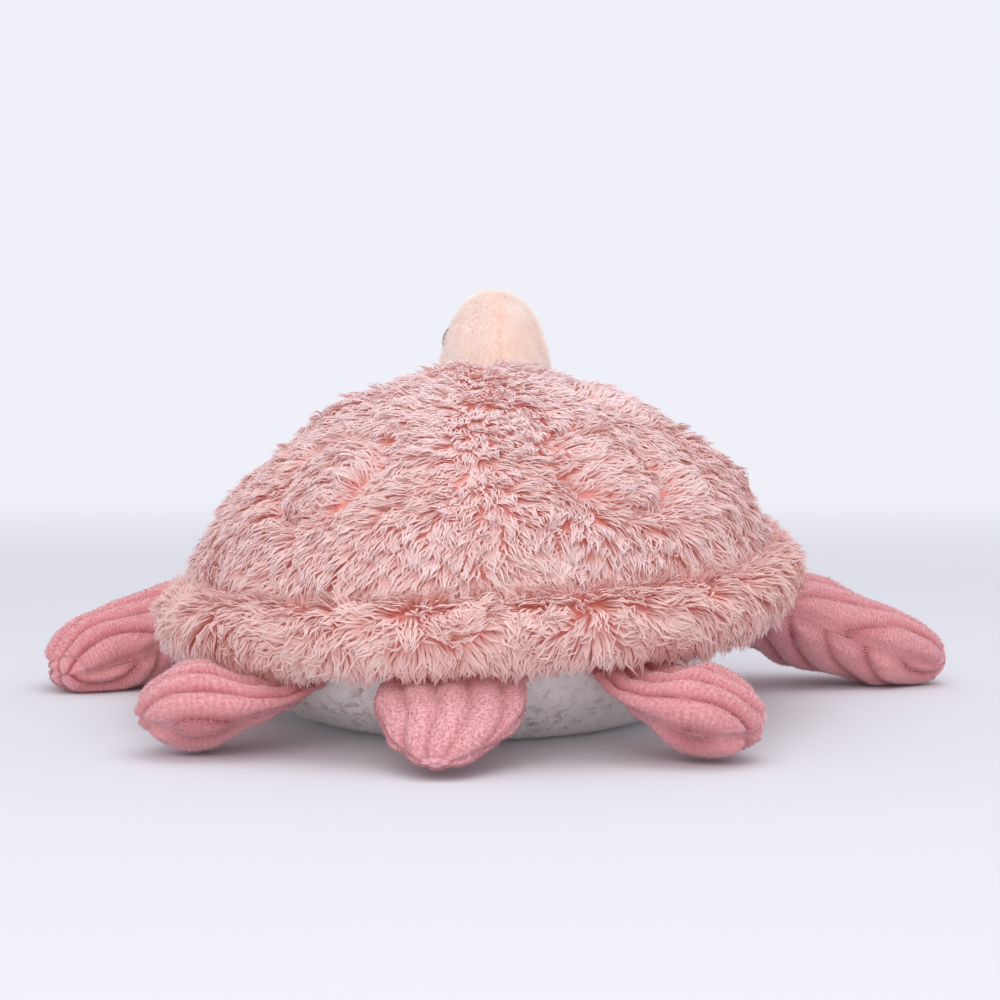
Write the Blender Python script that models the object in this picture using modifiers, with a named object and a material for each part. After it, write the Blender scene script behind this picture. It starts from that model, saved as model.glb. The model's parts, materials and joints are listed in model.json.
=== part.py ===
"""A plush sea turtle: a quilted fur shell with a rolled rim over a bowl-shaped belly, two pairs of
ribbed flippers, a ribbed tail, and a head on a bent neck. Metres, +Z up, the head toward +Y.
The origin is the middle of the flat patch that the belly rests on."""

import math
from dataclasses import dataclass

import bmesh
import bpy
from mathutils import Matrix, Vector

# Overall sizes
BODY_HALF_WIDTH = 0.103        # the seam line between shell and belly, across
BODY_HALF_LENGTH = 0.127       # the same seam line, front to back
SHELL_TOP = 0.1405
REST_HALF_WIDTH = 0.062        # the flat patch under the belly
ROUNDNESS_SHARE = 1.75         # 2 would be an ellipse; less makes the dome a little peaked
BELLY_ROUNDNESS_SHARE = 1.7

# Fabric and filling
PILE_COVER = 0.0090            # fur cloth of the shell, with its pile
WADDING = 0.0050
BELLY_CLOTH = 0.0026
RIB_CLOTH = 0.0024
HEAD_CLOTH = 0.0026
CLEARANCE = 0.0003             # between pieces that touch

# Rolled rim
RIM_RADIUS = 0.0117
RIM_CORE_RADIUS = 0.0060
RIM_SLIT_SHARE = 0.10          # of the core radius, half the opening that the seam closes
# Height of the rim's middle at each eighth of a turn, from the right side toward the head
RIM_HEIGHTS = (0.058, 0.070, 0.072, 0.062, 0.040, 0.042, 0.047, 0.050)
RIM_LEVEL = sum(RIM_HEIGHTS) / len(RIM_HEIGHTS)

BELLY_EDGE_RISE = 0.0037       # where shell and belly meet, above the rim's middle
LAYER_BASE = RIM_LEVEL + BELLY_EDGE_RISE + CLEARANCE
COVER_INNER = BODY_HALF_WIDTH + CLEARANCE
COVER_HALF_WIDTH = COVER_INNER + PILE_COVER
RIM_CENTRE = BODY_HALF_WIDTH + RIM_RADIUS
LIP_RADIUS = RIM_RADIUS + 2 * CLEARANCE
LIP_FIRST = 104.0              # degrees round the rim, where the shell's lip leaves it
LIP_LAST = 154.0

# Stitched scute rings on the shell, each as shares of the body's half width and half length
SCUTE_PLACE_SHARES = ((0.47, -0.62), (0.50, -0.10), (0.47, 0.42))
SIDE_SCUTE_PLACE_SHARES = ((0.84, -0.04),)
SCUTE_RADIUS = 0.0200
STITCH_RADIUS = 0.0030
STITCH_SINK = 0.0015           # how far the ring's cord line lies under the fur's outer level

# Rolled seam allowance that each limb hangs on
SEAM_RADIUS = 0.0030
SEAM_DROP = 0.0170             # below the rim's middle
LIMB_START = SEAM_RADIUS + CLEARANCE

# Where each limb's seam lies, in degrees from the right side toward the head
FRONT_RIGHT_TURN = 32.0
FRONT_LEFT_TURN = 148.0
REAR_RIGHT_TURN = -54.0
REAR_LEFT_TURN = -130.0
TAIL_TURN = -91.0
NECK_TURN = 90.0

# Limbs: shares along the length against shares of the full size
FRONT_LENGTH = 0.121
FRONT_WIDTH = 0.062
FRONT_THICKNESS = 0.041
FRONT_WIDTH_SHARES = ((0.0, 0.72), (0.35, 1.0), (0.75, 0.86), (1.0, 0.7))
FRONT_THICKNESS_SHARES = ((0.0, 0.26), (0.1, 0.42), (0.16, 0.6), (0.27, 0.88), (0.42, 1.0), (0.75, 0.86), (1.0, 0.8))
REAR_LENGTH = 0.057
REAR_WIDTH = 0.050
REAR_THICKNESS = 0.032
REAR_WIDTH_SHARES = ((0.0, 0.84), (0.4, 1.0), (1.0, 0.96))
REAR_THICKNESS_SHARES = ((0.0, 0.3), (0.18, 0.42), (0.3, 0.6), (0.55, 1.0), (1.0, 0.92))
TAIL_LENGTH = 0.050
TAIL_WIDTH = 0.055
TAIL_THICKNESS = 0.020
TAIL_WIDTH_SHARES = ((0.0, 0.96), (0.25, 1.0), (1.0, 0.82))
TAIL_THICKNESS_SHARES = ((0.0, 0.55), (0.3, 0.8), (0.55, 1.0), (1.0, 0.8))
NECK_LENGTH = 0.114
NECK_WIDTH = 0.050
NECK_THICKNESS = 0.042
NECK_WIDTH_SHARES = ((0.0, 0.96), (0.4, 1.0), (1.0, 0.74))
NECK_THICKNESS_SHARES = ((0.0, 0.28), (0.12, 0.5), (0.2, 0.66), (0.4, 1.0), (0.62, 0.9), (1.0, 0.92))
RIB_DEPTH = 0.0016
LEVEL_SHARE = 0.4              # of a limb's length, where it no longer follows its seam's slope
FLOOR_CLEARANCE = 0.0010       # the flippers lie this far above the belly's flat patch

# Head, about the axis it turns on
HEAD_HALF_WIDTH = 0.0270
HEAD_HALF_LENGTH = 0.0360
HEAD_HALF_HEIGHT = 0.0380
HEAD_RISE = 0.0270             # of the head's middle over the neck's top
HEAD_REACH = 0.0050            # of the head's middle in front of the turning axis
HEAD_YAW = 8.0                 # degrees to the left, as it rests
SNOUT_TAPER_SHARE = 0.16
EYE_RADIUS = 0.0055
EYE_BULGE = 0.0034
EYE_STEM_RADIUS = 0.0018
EYE_STEM_LENGTH = 0.0085
EYE_WASHER_RADIUS = 0.0048
EYE_WASHER_THICKNESS = 0.0012
EYE_FORWARD = 22.0             # degrees from straight out to the side
EYE_UP = 26.0                  # degrees above the head's middle

# Mesh fineness
TURNS = 32
DOME_ROWS = 11
LAYER_ROWS = 5
BELLY_ROWS = 5
RIM_SIDES = 11
CORE_SIDES = 7
CORE_COLUMNS = 12
SEAM_SIDES = 12
HEAD_COLUMNS = 16
HEAD_ROWS = 10
RIB_COLUMNS = 3
NECK_COLUMNS = 12
EYE_TURNS = 12
RING_TURNS = 12
RING_SIDES = 5
PATH_STEPS = 48
WELD = 0.00001
CREASE = 40.0                  # degrees, past which an edge is shaded sharp


@dataclass(frozen=True)
class Limb:
    """A stuffed limb that leaves its seam along a bent path. Headings and pitches are in degrees,
    headings from +X toward +Y, each as (share of the length, angle) pairs."""

    name: str
    turn: float
    headings: tuple
    pitches: tuple
    length: float
    width: float
    thickness: float
    width_shares: tuple
    thickness_shares: tuple
    tip_share: float
    ribs: int
    rows: int

    def root(self):
        """The middle of the seam that the limb hangs on."""
        return seam_place(self.turn)

    def frame(self, share):
        """The path's place at a share of the length, with its along, across and up directions."""
        place = self.root()
        steps = max(1, round(PATH_STEPS * share))
        along, across, up = self.directions(0.0)
        for step in range(steps):
            along, across, up = self.directions(share * (step + 0.5) / steps)
            place = place + along * (self.length * share / steps)
        along, across, up = self.directions(share)
        return place, along, across, up

    def directions(self, share):
        """Along, across and up at a share of the length: square to the seam, then level."""
        heading = math.radians(blend(self.headings, share))
        pitch = math.radians(blend(self.pitches, share))
        along = Vector((math.cos(pitch) * math.cos(heading), math.cos(pitch) * math.sin(heading), math.sin(pitch)))
        level = Vector((-math.sin(heading), math.cos(heading), 0.0))
        across = level.lerp(self.hinge_axis(), 1.0 - ease_in_out(share / LEVEL_SHARE)).normalized()
        along = (along - across * along.dot(across)).normalized()
        return along, across, along.cross(across)

    def hinge_axis(self):
        """The direction of the sagging seam where the limb hangs on it."""
        return (seam_place(self.turn + 1.0) - seam_place(self.turn - 1.0)).normalized()

    def closing(self, share):
        """How far the rounded tip has closed the section: 1 is open, 0 is the tip."""
        past = max(0.0, (share - self.tip_share) / (1.0 - self.tip_share)) if self.tip_share < 1.0 else 0.0
        return math.sqrt(max(0.0, 1.0 - past * past))

    def skin(self, share, angle, inset, start):
        """A point on the limb's surface, inset from its outer face. Start is the first section's
        distance from the seam's middle."""
        reach = start + (self.length - start - inset * (self.tip_share < 1.0)) * share
        place, along, across, up = self.frame(reach / self.length)
        closing = self.closing(share)
        half_width = (self.width / 2 * blend(self.width_shares, share) - inset) * closing
        half_thickness = (self.thickness / 2 * blend(self.thickness_shares, share) - inset) * closing
        half_thickness = max(half_thickness, CLEARANCE * closing)
        point = place + across * (half_width * math.cos(angle)) + up * (half_thickness * math.sin(angle))
        point.z = max(point.z, FLOOR_CLEARANCE + inset)
        return point

    def stations(self):
        """Shares of the length, even along the limb and closer together round the tip."""
        tip_rows = 3 if self.tip_share < 1.0 else 0
        body_rows = self.rows - tip_rows
        even = [min(self.tip_share, 1.0) * row / body_rows for row in range(body_rows + 1)]
        tip = [self.tip_share + (1.0 - self.tip_share) * math.sin(math.pi / 2 * row / tip_rows)
               for row in range(1, tip_rows + 1)]
        return even + tip


def blend(pairs, share):
    """Smooth value at a share, between (share, value) pairs in order."""
    if share <= pairs[0][0]:
        return pairs[0][1]
    for (low, first), (high, second) in zip(pairs, pairs[1:]):
        if share <= high:
            ease = (1.0 - math.cos(math.pi * (share - low) / (high - low))) / 2
            return first + (second - first) * ease
    return pairs[-1][1]


def rim_height(turn):
    """Height of the rim's middle at a turn in radians, smooth between the eighths."""
    place = (turn / (2 * math.pi)) % 1.0 * len(RIM_HEIGHTS)
    first = int(place) % len(RIM_HEIGHTS)
    ease = (1.0 - math.cos(math.pi * (place - int(place)))) / 2
    return RIM_HEIGHTS[first] + (RIM_HEIGHTS[(first + 1) % len(RIM_HEIGHTS)] - RIM_HEIGHTS[first]) * ease


def ease_in_out(share):
    share = min(1.0, max(0.0, share))
    return share * share * (3.0 - 2.0 * share)


def settle(point):
    """Moves a point of the round, level body to the oval plan and the sagging rim line."""
    radius = math.hypot(point[0], point[1])
    turn = math.atan2(point[1], point[0])
    stretch = (BODY_HALF_LENGTH - BODY_HALF_WIDTH) * min(1.0, radius / BODY_HALF_WIDTH)
    height = point[2]
    if height > RIM_LEVEL:
        above = RIM_LEVEL + RIM_RADIUS
        sag_share = 1.0 - ease_in_out((height - above) / (SHELL_TOP - above))
    else:
        sag_share = ease_in_out(height / (RIM_LEVEL - SEAM_DROP - SEAM_RADIUS))
    sag = (rim_height(turn) - RIM_LEVEL) * sag_share
    return Vector((radius * math.cos(turn), (radius + stretch) * math.sin(turn), height + sag))


def dome_curve(half_width, base, top, rows):
    """Profile points from the top of the dome on the axis down to its base."""
    points = []
    for row in range(rows + 1):
        angle = math.pi / 2 * row / rows
        radius = half_width * math.sin(angle) ** (2 / ROUNDNESS_SHARE)
        height = base + (top - base) * max(0.0, math.cos(angle)) ** (2 / ROUNDNESS_SHARE)
        points.append((radius, height))
    return points


def belly_curve(inset, rows):
    """Profile points of the belly from the seam line down to the flat patch and in to the axis."""
    side = BODY_HALF_WIDTH - CLEARANCE - inset
    flat = REST_HALF_WIDTH - inset / 2
    points = [(side, RIM_LEVEL + BELLY_EDGE_RISE)]
    for row in range(rows + 1):
        angle = math.pi / 2 * row / rows
        radius = flat + (side - flat) * math.cos(angle) ** (2 / BELLY_ROUNDNESS_SHARE)
        height = RIM_LEVEL - (RIM_LEVEL - inset) * math.sin(angle) ** (2 / BELLY_ROUNDNESS_SHARE)
        points.append((radius, height))
    return points + [(0.0, inset)]


def belly_side(drop):
    """Radius and downward slope of the belly panel's outer face at a drop below the rim's middle."""
    height = RIM_LEVEL - drop
    profile = belly_curve(0.0, BELLY_ROWS)
    for (first, high), (second, low) in zip(profile, profile[1:]):
        if low < height:
            share = (high - height) / (high - low)
            return first + (second - first) * share, math.atan2(first - second, high - low)
    return profile[-1][0], 0.0


def facet_share(turn_degrees):
    """How far in the middle of a turned body's flat facet lies, as a share of its corners' radius."""
    step = math.tau / TURNS
    past = math.radians(turn_degrees) % step - step / 2
    return math.cos(step / 2) / math.cos(past)


def seam_place(turn_degrees):
    """Middle of a limb's seam roll, seated against the belly's side at a turn in degrees."""
    radius, slope = belly_side(SEAM_DROP)
    stand_off = SEAM_RADIUS + CLEARANCE
    turn = math.radians(turn_degrees)
    reach = radius * facet_share(turn_degrees) + stand_off * math.cos(slope)
    height = RIM_LEVEL - SEAM_DROP - stand_off * math.sin(slope)
    return settle((reach * math.cos(turn), reach * math.sin(turn), height))


def outward_heading(turn_degrees):
    """Heading in degrees that leaves the oval seam line at a right angle."""
    turn = math.radians(turn_degrees)
    return math.degrees(math.atan2(math.sin(turn) / BODY_HALF_LENGTH, math.cos(turn) / BODY_HALF_WIDTH))


def clear_scene():
    for thing in list(bpy.data.objects):
        bpy.data.objects.remove(thing, do_unlink=True)


def make_collection(name):
    collection = bpy.data.collections.new(name)
    bpy.context.scene.collection.children.link(collection)
    return collection


def paint(name, colour, roughness):
    material = bpy.data.materials.new(name)
    material.use_nodes = True
    shader = material.node_tree.nodes["Principled BSDF"]
    shader.inputs["Base Color"].default_value = (*colour, 1.0)
    shader.inputs["Roughness"].default_value = roughness
    shader.inputs["Metallic"].default_value = 0.0
    return material


def finish_mesh(mesh, name, collection):
    """A named object with outward faces and smooth shading."""
    sheet = bmesh.new()
    sheet.from_mesh(mesh)
    bmesh.ops.remove_doubles(sheet, verts=sheet.verts, dist=WELD)
    bmesh.ops.recalc_face_normals(sheet, faces=sheet.faces)
    sheet.to_mesh(mesh)
    sheet.free()
    mesh.shade_smooth()
    mesh.set_sharp_from_angle(angle=math.radians(CREASE))
    thing = bpy.data.objects.new(name, mesh)
    collection.objects.link(thing)
    return thing


def turned_mesh(profile, closed, turns):
    """Mesh of a profile in the XZ plane turned once about Z."""
    mesh = bpy.data.meshes.new("profile")
    edges = [(point, point + 1) for point in range(len(profile) - 1)]
    if closed:
        edges.append((len(profile) - 1, 0))
    mesh.from_pydata([(radius, 0.0, height) for radius, height in profile], edges, [])
    thing = bpy.data.objects.new("profile", mesh)
    bpy.context.scene.collection.objects.link(thing)
    screw = thing.modifiers.new("Turn", "SCREW")
    screw.steps = screw.render_steps = turns
    screw.use_merge_vertices = True
    screw.merge_threshold = WELD
    graph = bpy.context.evaluated_depsgraph_get()
    turned = bpy.data.meshes.new_from_object(thing.evaluated_get(graph))
    bpy.data.objects.remove(thing, do_unlink=True)
    return turned


def turned_body(name, profile, closed, collection):
    """A piece of the body: a turned profile settled onto the oval plan and the sagging rim."""
    mesh = turned_mesh(profile, closed, TURNS)
    for vertex in mesh.vertices:
        vertex.co = settle(vertex.co)
    return finish_mesh(mesh, name, collection)


def arc(centre, radius, first, last, sides):
    """Points on an arc in the profile plane, angles in degrees."""
    points = []
    for side in range(sides + 1):
        angle = math.radians(first + (last - first) * side / sides)
        points.append((centre[0] + radius * math.cos(angle), centre[1] + radius * math.sin(angle)))
    return points


def cut(thing, cutter):
    difference = thing.modifiers.new("Cut", "BOOLEAN")
    difference.operation = "DIFFERENCE"
    difference.solver = "EXACT"
    difference.object = cutter


def hide_cutter(cutter):
    cutter.hide_render = True
    cutter.display_type = "WIRE"


def dome_spot(width_share, length_share):
    """Point and outward direction on the shell's outer face, at shares of the body's half sizes."""
    def height_at(side, forward):
        radius = math.hypot(side, forward) * COVER_HALF_WIDTH
        share = min(0.999, radius / COVER_HALF_WIDTH)
        rise_share = (1.0 - share ** ROUNDNESS_SHARE) ** (1.0 / ROUNDNESS_SHARE)
        base = RIM_LEVEL + RIM_RADIUS
        turn = math.atan2(forward, side)
        return settle((radius * math.cos(turn), radius * math.sin(turn), base + (SHELL_TOP - base) * rise_share))
    step_share = 0.02
    middle = height_at(width_share, length_share)
    sideways = height_at(width_share + step_share, length_share) - middle
    forward = height_at(width_share, length_share + step_share) - middle
    return middle, sideways.cross(forward).normalized()


def scute_places():
    """Width and length shares of every stitched ring, both sides of the middle seam."""
    right = SCUTE_PLACE_SHARES + SIDE_SCUTE_PLACE_SHARES
    return right + tuple((-side, forward) for side, forward in right)


def make_scute_cutters(collection):
    """One torus for each stitched ring, lying in the shell's outer face."""
    cutters = []
    for number, (side, forward) in enumerate(scute_places()):
        spot, outward = dome_spot(side, forward)
        bpy.ops.mesh.primitive_torus_add(major_radius=SCUTE_RADIUS, minor_radius=STITCH_RADIUS,
                                         major_segments=RING_TURNS, minor_segments=RING_SIDES)
        ring = bpy.context.object
        ring.name = f"scute_ring_cutter_{number}"
        ring.location = spot - outward * STITCH_SINK
        ring.rotation_mode = "QUATERNION"
        ring.rotation_quaternion = outward.to_track_quat("Z", "Y")
        for owner in list(ring.users_collection):
            owner.objects.unlink(ring)
        collection.objects.link(ring)
        hide_cutter(ring)
        cutters.append(ring)
    return cutters


def make_shell(parts, cutters, fur, wadding):
    """The quilted fur cover and the wadding under it."""
    base = RIM_LEVEL + RIM_RADIUS
    outer = dome_curve(COVER_HALF_WIDTH, base, SHELL_TOP, DOME_ROWS)
    lip = arc((RIM_CENTRE, RIM_LEVEL), LIP_RADIUS, LIP_FIRST, LIP_LAST, 2)
    inner = dome_curve(COVER_INNER, LAYER_BASE, SHELL_TOP - PILE_COVER, LAYER_ROWS)
    cover = turned_body("shell_cover", outer + lip + inner[::-1], False, parts)
    cover.data.materials.append(fur)
    for ring in make_scute_cutters(cutters):
        cut(cover, ring)

    top = SHELL_TOP - PILE_COVER - 2 * CLEARANCE
    outer = dome_curve(COVER_INNER - 2 * CLEARANCE, LAYER_BASE, top, LAYER_ROWS)
    inner = dome_curve(COVER_INNER - 2 * CLEARANCE - WADDING, LAYER_BASE, top - WADDING, LAYER_ROWS)
    pad = turned_body("shell_wadding", outer + inner[::-1], False, parts)
    pad.data.materials.append(wadding)


def make_rim(parts, fur, filling):
    """The rolled rim: a fur sleeve with its slit toward the seam, and the roll inside it."""
    centre = (RIM_CENTRE, RIM_LEVEL)
    slit = RIM_SLIT_SHARE * RIM_CORE_RADIUS
    outer_gap = math.degrees(math.asin(slit / RIM_RADIUS))
    inner_gap = math.degrees(math.asin(slit / RIM_CORE_RADIUS))
    outer = arc(centre, RIM_RADIUS, 180.0 - outer_gap, -180.0 + outer_gap, RIM_SIDES)
    inner = arc(centre, RIM_CORE_RADIUS, -180.0 + inner_gap, 180.0 - inner_gap, CORE_SIDES)
    sleeve = turned_body("shell_rim_cover", outer + inner, True, parts)
    sleeve.data.materials.append(fur)
    roll_radius = RIM_CORE_RADIUS * math.cos(math.pi / CORE_SIDES) - CLEARANCE
    roll = arc(centre, roll_radius, 0.0, 360.0, CORE_SIDES)[:-1]
    core = turned_body("shell_rim_filling", roll, True, parts)
    core.data.materials.append(filling)


def make_belly(parts, cloth, filling):
    """The belly panel with its flat patch, and the stuffing that fills belly and shell."""
    panel = turned_body("belly_panel", belly_curve(0.0, BELLY_ROWS)[::-1] + belly_curve(BELLY_CLOTH, BELLY_ROWS),
                        False, parts)
    panel.data.materials.append(cloth)
    room = PILE_COVER + WADDING + 4 * CLEARANCE
    upper = dome_curve(COVER_INNER - WADDING - 4 * CLEARANCE, LAYER_BASE, SHELL_TOP - room, LAYER_ROWS)
    lower = belly_curve(BELLY_CLOTH + CLEARANCE, BELLY_ROWS)
    core = turned_body("body_stuffing", upper + lower, False, parts)
    core.data.materials.append(filling)


def grid_surface(columns, rows, place):
    """Mesh of an even grid whose points are placed by their column and row numbers."""
    sheet = bmesh.new()
    bmesh.ops.create_grid(sheet, x_segments=columns, y_segments=rows, size=1.0)
    for vertex in sheet.verts:
        vertex.co = place(round((vertex.co.x + 1.0) / 2 * columns), round((vertex.co.y + 1.0) / 2 * rows))
    bmesh.ops.remove_doubles(sheet, verts=sheet.verts, dist=WELD)
    mesh = bpy.data.meshes.new("surface")
    sheet.to_mesh(mesh)
    sheet.free()
    return mesh


def thicken(thing, thickness):
    """Gives an open surface its cloth's thickness, inward."""
    solidify = thing.modifiers.new("Cloth", "SOLIDIFY")
    solidify.thickness = thickness
    solidify.offset = -1.0
    solidify.use_even_offset = True


def limb_panel(limb, name, half, parts, cloth):
    """The upper (half 1) or lower (half -1) ribbed panel of a flipper or tail. Its section is a
    closed loop: over the ribbed outside from edge to edge, and back along the inside."""
    columns = limb.ribs * RIB_COLUMNS
    loop = 2 * columns + 2
    stations = limb.stations()

    def section_point(column, share):
        outside = column <= columns
        step = column if outside else loop - 1 - column
        valley = RIB_DEPTH * limb.closing(share) if step % RIB_COLUMNS == 0 else 0.0
        inset = valley if outside else RIB_CLOTH + RIB_DEPTH
        point = limb.skin(share, half * math.pi * step / columns, inset, LIMB_START)
        return point + limb.frame(share)[3] * (half * CLEARANCE / 2)

    def place(column, row):
        column %= loop
        if row == 0:
            opposite = loop - 1 - column
            return (section_point(column, 0.0) + section_point(opposite, 0.0)) / 2
        return section_point(column, stations[row - 1])

    panel = finish_mesh(grid_surface(loop, limb.rows + 1, place), name, parts)
    panel.data.materials.append(cloth)
    return panel


def limb_core(limb, name, inset, parts, filling):
    """A limb's stuffing: a sphere whose rings take the limb's sections, inset from its outer face."""
    stations = limb.stations()
    rings = limb.rows + (1 if limb.tip_share < 1.0 else 2)
    sheet = bmesh.new()
    bmesh.ops.create_uvsphere(sheet, u_segments=CORE_COLUMNS, v_segments=rings, radius=1.0)
    for vertex in sheet.verts:
        ring = round(rings * math.acos(max(-1.0, min(1.0, -vertex.co.z))) / math.pi)
        if ring == 0:
            vertex.co = limb.frame(LIMB_START / limb.length)[0]
        elif ring > limb.rows + 1:
            vertex.co = limb.frame(1.0)[0]
        else:
            angle = math.atan2(vertex.co.y, vertex.co.x)
            vertex.co = limb.skin(stations[ring - 1], angle, inset, LIMB_START)
    mesh = bpy.data.meshes.new(name)
    sheet.to_mesh(mesh)
    sheet.free()
    core = finish_mesh(mesh, name, parts)
    core.data.materials.append(filling)
    return core


def seam_roll(limb, parts, cloth):
    """The rolled seam allowance that a limb swings on."""
    length = limb.width * limb.width_shares[0][1]
    bpy.ops.mesh.primitive_cylinder_add(vertices=SEAM_SIDES, radius=SEAM_RADIUS, depth=length)
    roll = bpy.context.object
    roll.name = f"{limb.name}_seam"
    roll.data.name = roll.name
    roll.location = limb.root()
    roll.rotation_mode = "QUATERNION"
    roll.rotation_quaternion = limb.hinge_axis().to_track_quat("Z", "Y")
    for owner in list(roll.users_collection):
        owner.objects.unlink(roll)
    parts.objects.link(roll)
    roll.data.materials.append(cloth)
    return roll


def make_pivot(name, place, axis, parts):
    """An empty on a joint's axis, its own X along the axis."""
    pivot = bpy.data.objects.new(name, None)
    pivot.empty_display_size = SEAM_RADIUS
    pivot.matrix_world = Matrix.Translation(place) @ axis.to_track_quat("X", "Z").to_matrix().to_4x4()
    parts.objects.link(pivot)
    bpy.context.view_layer.update()
    return pivot


def hang(thing, pivot):
    """Parents a piece to a pivot and keeps it where it is in the world."""
    thing.data.transform(pivot.matrix_world.inverted())
    thing.parent = pivot


def make_limb(limb, parts, cloth, filling):
    seam_roll(limb, parts, cloth)
    pivot = make_pivot(f"{limb.name}_pivot", limb.root(), limb.hinge_axis(), parts)
    pieces = (limb_panel(limb, f"{limb.name}_upper_panel", 1, parts, cloth),
              limb_panel(limb, f"{limb.name}_lower_panel", -1, parts, cloth),
              limb_core(limb, f"{limb.name}_stuffing", RIB_CLOTH + RIB_DEPTH + 3 * CLEARANCE, parts, filling))
    for piece in pieces:
        hang(piece, pivot)


def make_neck(limb, parts, cloth, filling):
    """The neck's open sleeve and its stuffing, on the seam at the front of the belly."""
    seam_roll(limb, parts, cloth)
    pivot = make_pivot("neck_pivot", limb.root(), limb.hinge_axis(), parts)
    stations = limb.stations()
    loop = 2 * len(stations)

    def place(column, row):
        row %= loop
        outside = row < len(stations)
        share = stations[row if outside else loop - 1 - row]
        angle = 2 * math.pi * (column % NECK_COLUMNS) / NECK_COLUMNS
        return limb.skin(share, angle, 0.0 if outside else HEAD_CLOTH, LIMB_START)

    sleeve = finish_mesh(grid_surface(NECK_COLUMNS, loop, place), "neck_cover", parts)
    sleeve.data.materials.append(cloth)
    core = limb_core(limb, "neck_stuffing", HEAD_CLOTH + CLEARANCE, parts, filling)
    for piece in (sleeve, core):
        hang(piece, pivot)
    return pivot


def head_point(direction, inset):
    """A point on the head, from a unit direction about its middle, inset from the outer face."""
    taper = 1.0 - SNOUT_TAPER_SHARE * max(0.0, direction[1]) ** 2
    return Vector((direction[0] * (HEAD_HALF_WIDTH - inset) * taper,
                   direction[1] * (HEAD_HALF_LENGTH - inset),
                   direction[2] * (HEAD_HALF_HEIGHT - inset) * taper))


def head_surface(inset):
    """The head's surface, inset from its outer face and open at the neck."""
    sheet = bmesh.new()
    bmesh.ops.create_uvsphere(sheet, u_segments=HEAD_COLUMNS, v_segments=HEAD_ROWS, radius=1.0,
                              matrix=Matrix.Rotation(math.pi / 2, 4, "Y"))
    for vertex in sheet.verts:
        vertex.co = head_point(vertex.co.copy(), inset)
    bisect(sheet, (0.0, 0.0, CLEARANCE - HEAD_RISE), (0.0, 0.0, -1.0))
    return sheet


def bisect(sheet, place, direction):
    """Cuts away what lies past a plane, on the side that its direction points to."""
    bmesh.ops.bisect_plane(sheet, geom=sheet.verts[:] + sheet.edges[:] + sheet.faces[:],
                           plane_co=place, plane_no=direction, clear_outer=True)


def close_cut(sheet):
    bmesh.ops.holes_fill(sheet, edges=[edge for edge in sheet.edges if edge.is_boundary], sides=0)


def mesh_of(sheet, name):
    mesh = bpy.data.meshes.new(name)
    sheet.to_mesh(mesh)
    sheet.free()
    return mesh


def head_shell_mesh(parts):
    """The whole head's cloth, open at the neck."""
    whole = finish_mesh(mesh_of(head_surface(0.0), "head_cloth"), "head_cloth", parts)
    thicken(whole, HEAD_CLOTH)
    graph = bpy.context.evaluated_depsgraph_get()
    mesh = bpy.data.meshes.new_from_object(whole.evaluated_get(graph))
    bpy.data.objects.remove(whole, do_unlink=True)
    return mesh


def head_half(shell, side, name, parts):
    """One side of the head's cloth (side 1 or -1), cut at the middle seam."""
    sheet = bmesh.new()
    sheet.from_mesh(shell)
    bisect(sheet, (side * CLEARANCE / 2, 0.0, 0.0), (-side, 0.0, 0.0))
    close_cut(sheet)
    return finish_mesh(mesh_of(sheet, name), name, parts)


def eye_place(side):
    """Place and outward direction of an eye on the head, about the head's middle."""
    forward, up = math.radians(EYE_FORWARD), math.radians(EYE_UP)
    direction = Vector((side * math.cos(up) * math.cos(forward), math.cos(up) * math.sin(forward), math.sin(up)))
    place = head_point(direction, 0.0)
    outward = Vector((place.x / HEAD_HALF_WIDTH ** 2, place.y / HEAD_HALF_LENGTH ** 2,
                      place.z / HEAD_HALF_HEIGHT ** 2))
    return place, outward.normalized()


def eye_profile():
    """Half outline of a domed eye with its stem, from the stem's end to the top."""
    dome = []
    for step in range(6):
        angle = math.pi / 2 * step / 5
        dome.append((EYE_RADIUS * math.cos(angle), CLEARANCE + EYE_BULGE * math.sin(angle)))
    return [(0.0, -EYE_STEM_LENGTH), (EYE_STEM_RADIUS, -EYE_STEM_LENGTH), (EYE_STEM_RADIUS, CLEARANCE)] + dome


def washer_top():
    """The washer's level under the head's outer face, clear of the cloth's curve at its edge."""
    return -HEAD_CLOTH - 2 * CLEARANCE - EYE_WASHER_RADIUS ** 2 / HEAD_HALF_WIDTH


def washer_profile():
    top = washer_top()
    inner = EYE_STEM_RADIUS + CLEARANCE
    low = top - EYE_WASHER_THICKNESS
    return [(inner, low), (EYE_WASHER_RADIUS, low), (EYE_WASHER_RADIUS, top), (inner, top)]


def eye_room_profile():
    """The room that an eye's stem and washer need in the stuffing, open to the outside."""
    hole = EYE_STEM_RADIUS + CLEARANCE
    wide = EYE_WASHER_RADIUS + CLEARANCE
    shelf = washer_top() - EYE_WASHER_THICKNESS - CLEARANCE
    end = -EYE_STEM_LENGTH - CLEARANCE
    return [(0.0, end), (hole, end), (hole, shelf), (wide, shelf), (wide, EYE_RADIUS), (0.0, EYE_RADIUS)]


def turned_at(name, profile, closed, place, outward, collection):
    """A small turned piece standing on a place, its axis along the outward direction."""
    thing = finish_mesh(turned_mesh(profile, closed, EYE_TURNS), name, collection)
    thing.data.transform(Matrix.Translation(place) @ outward.to_track_quat("Z", "Y").to_matrix().to_4x4())
    return thing


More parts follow.
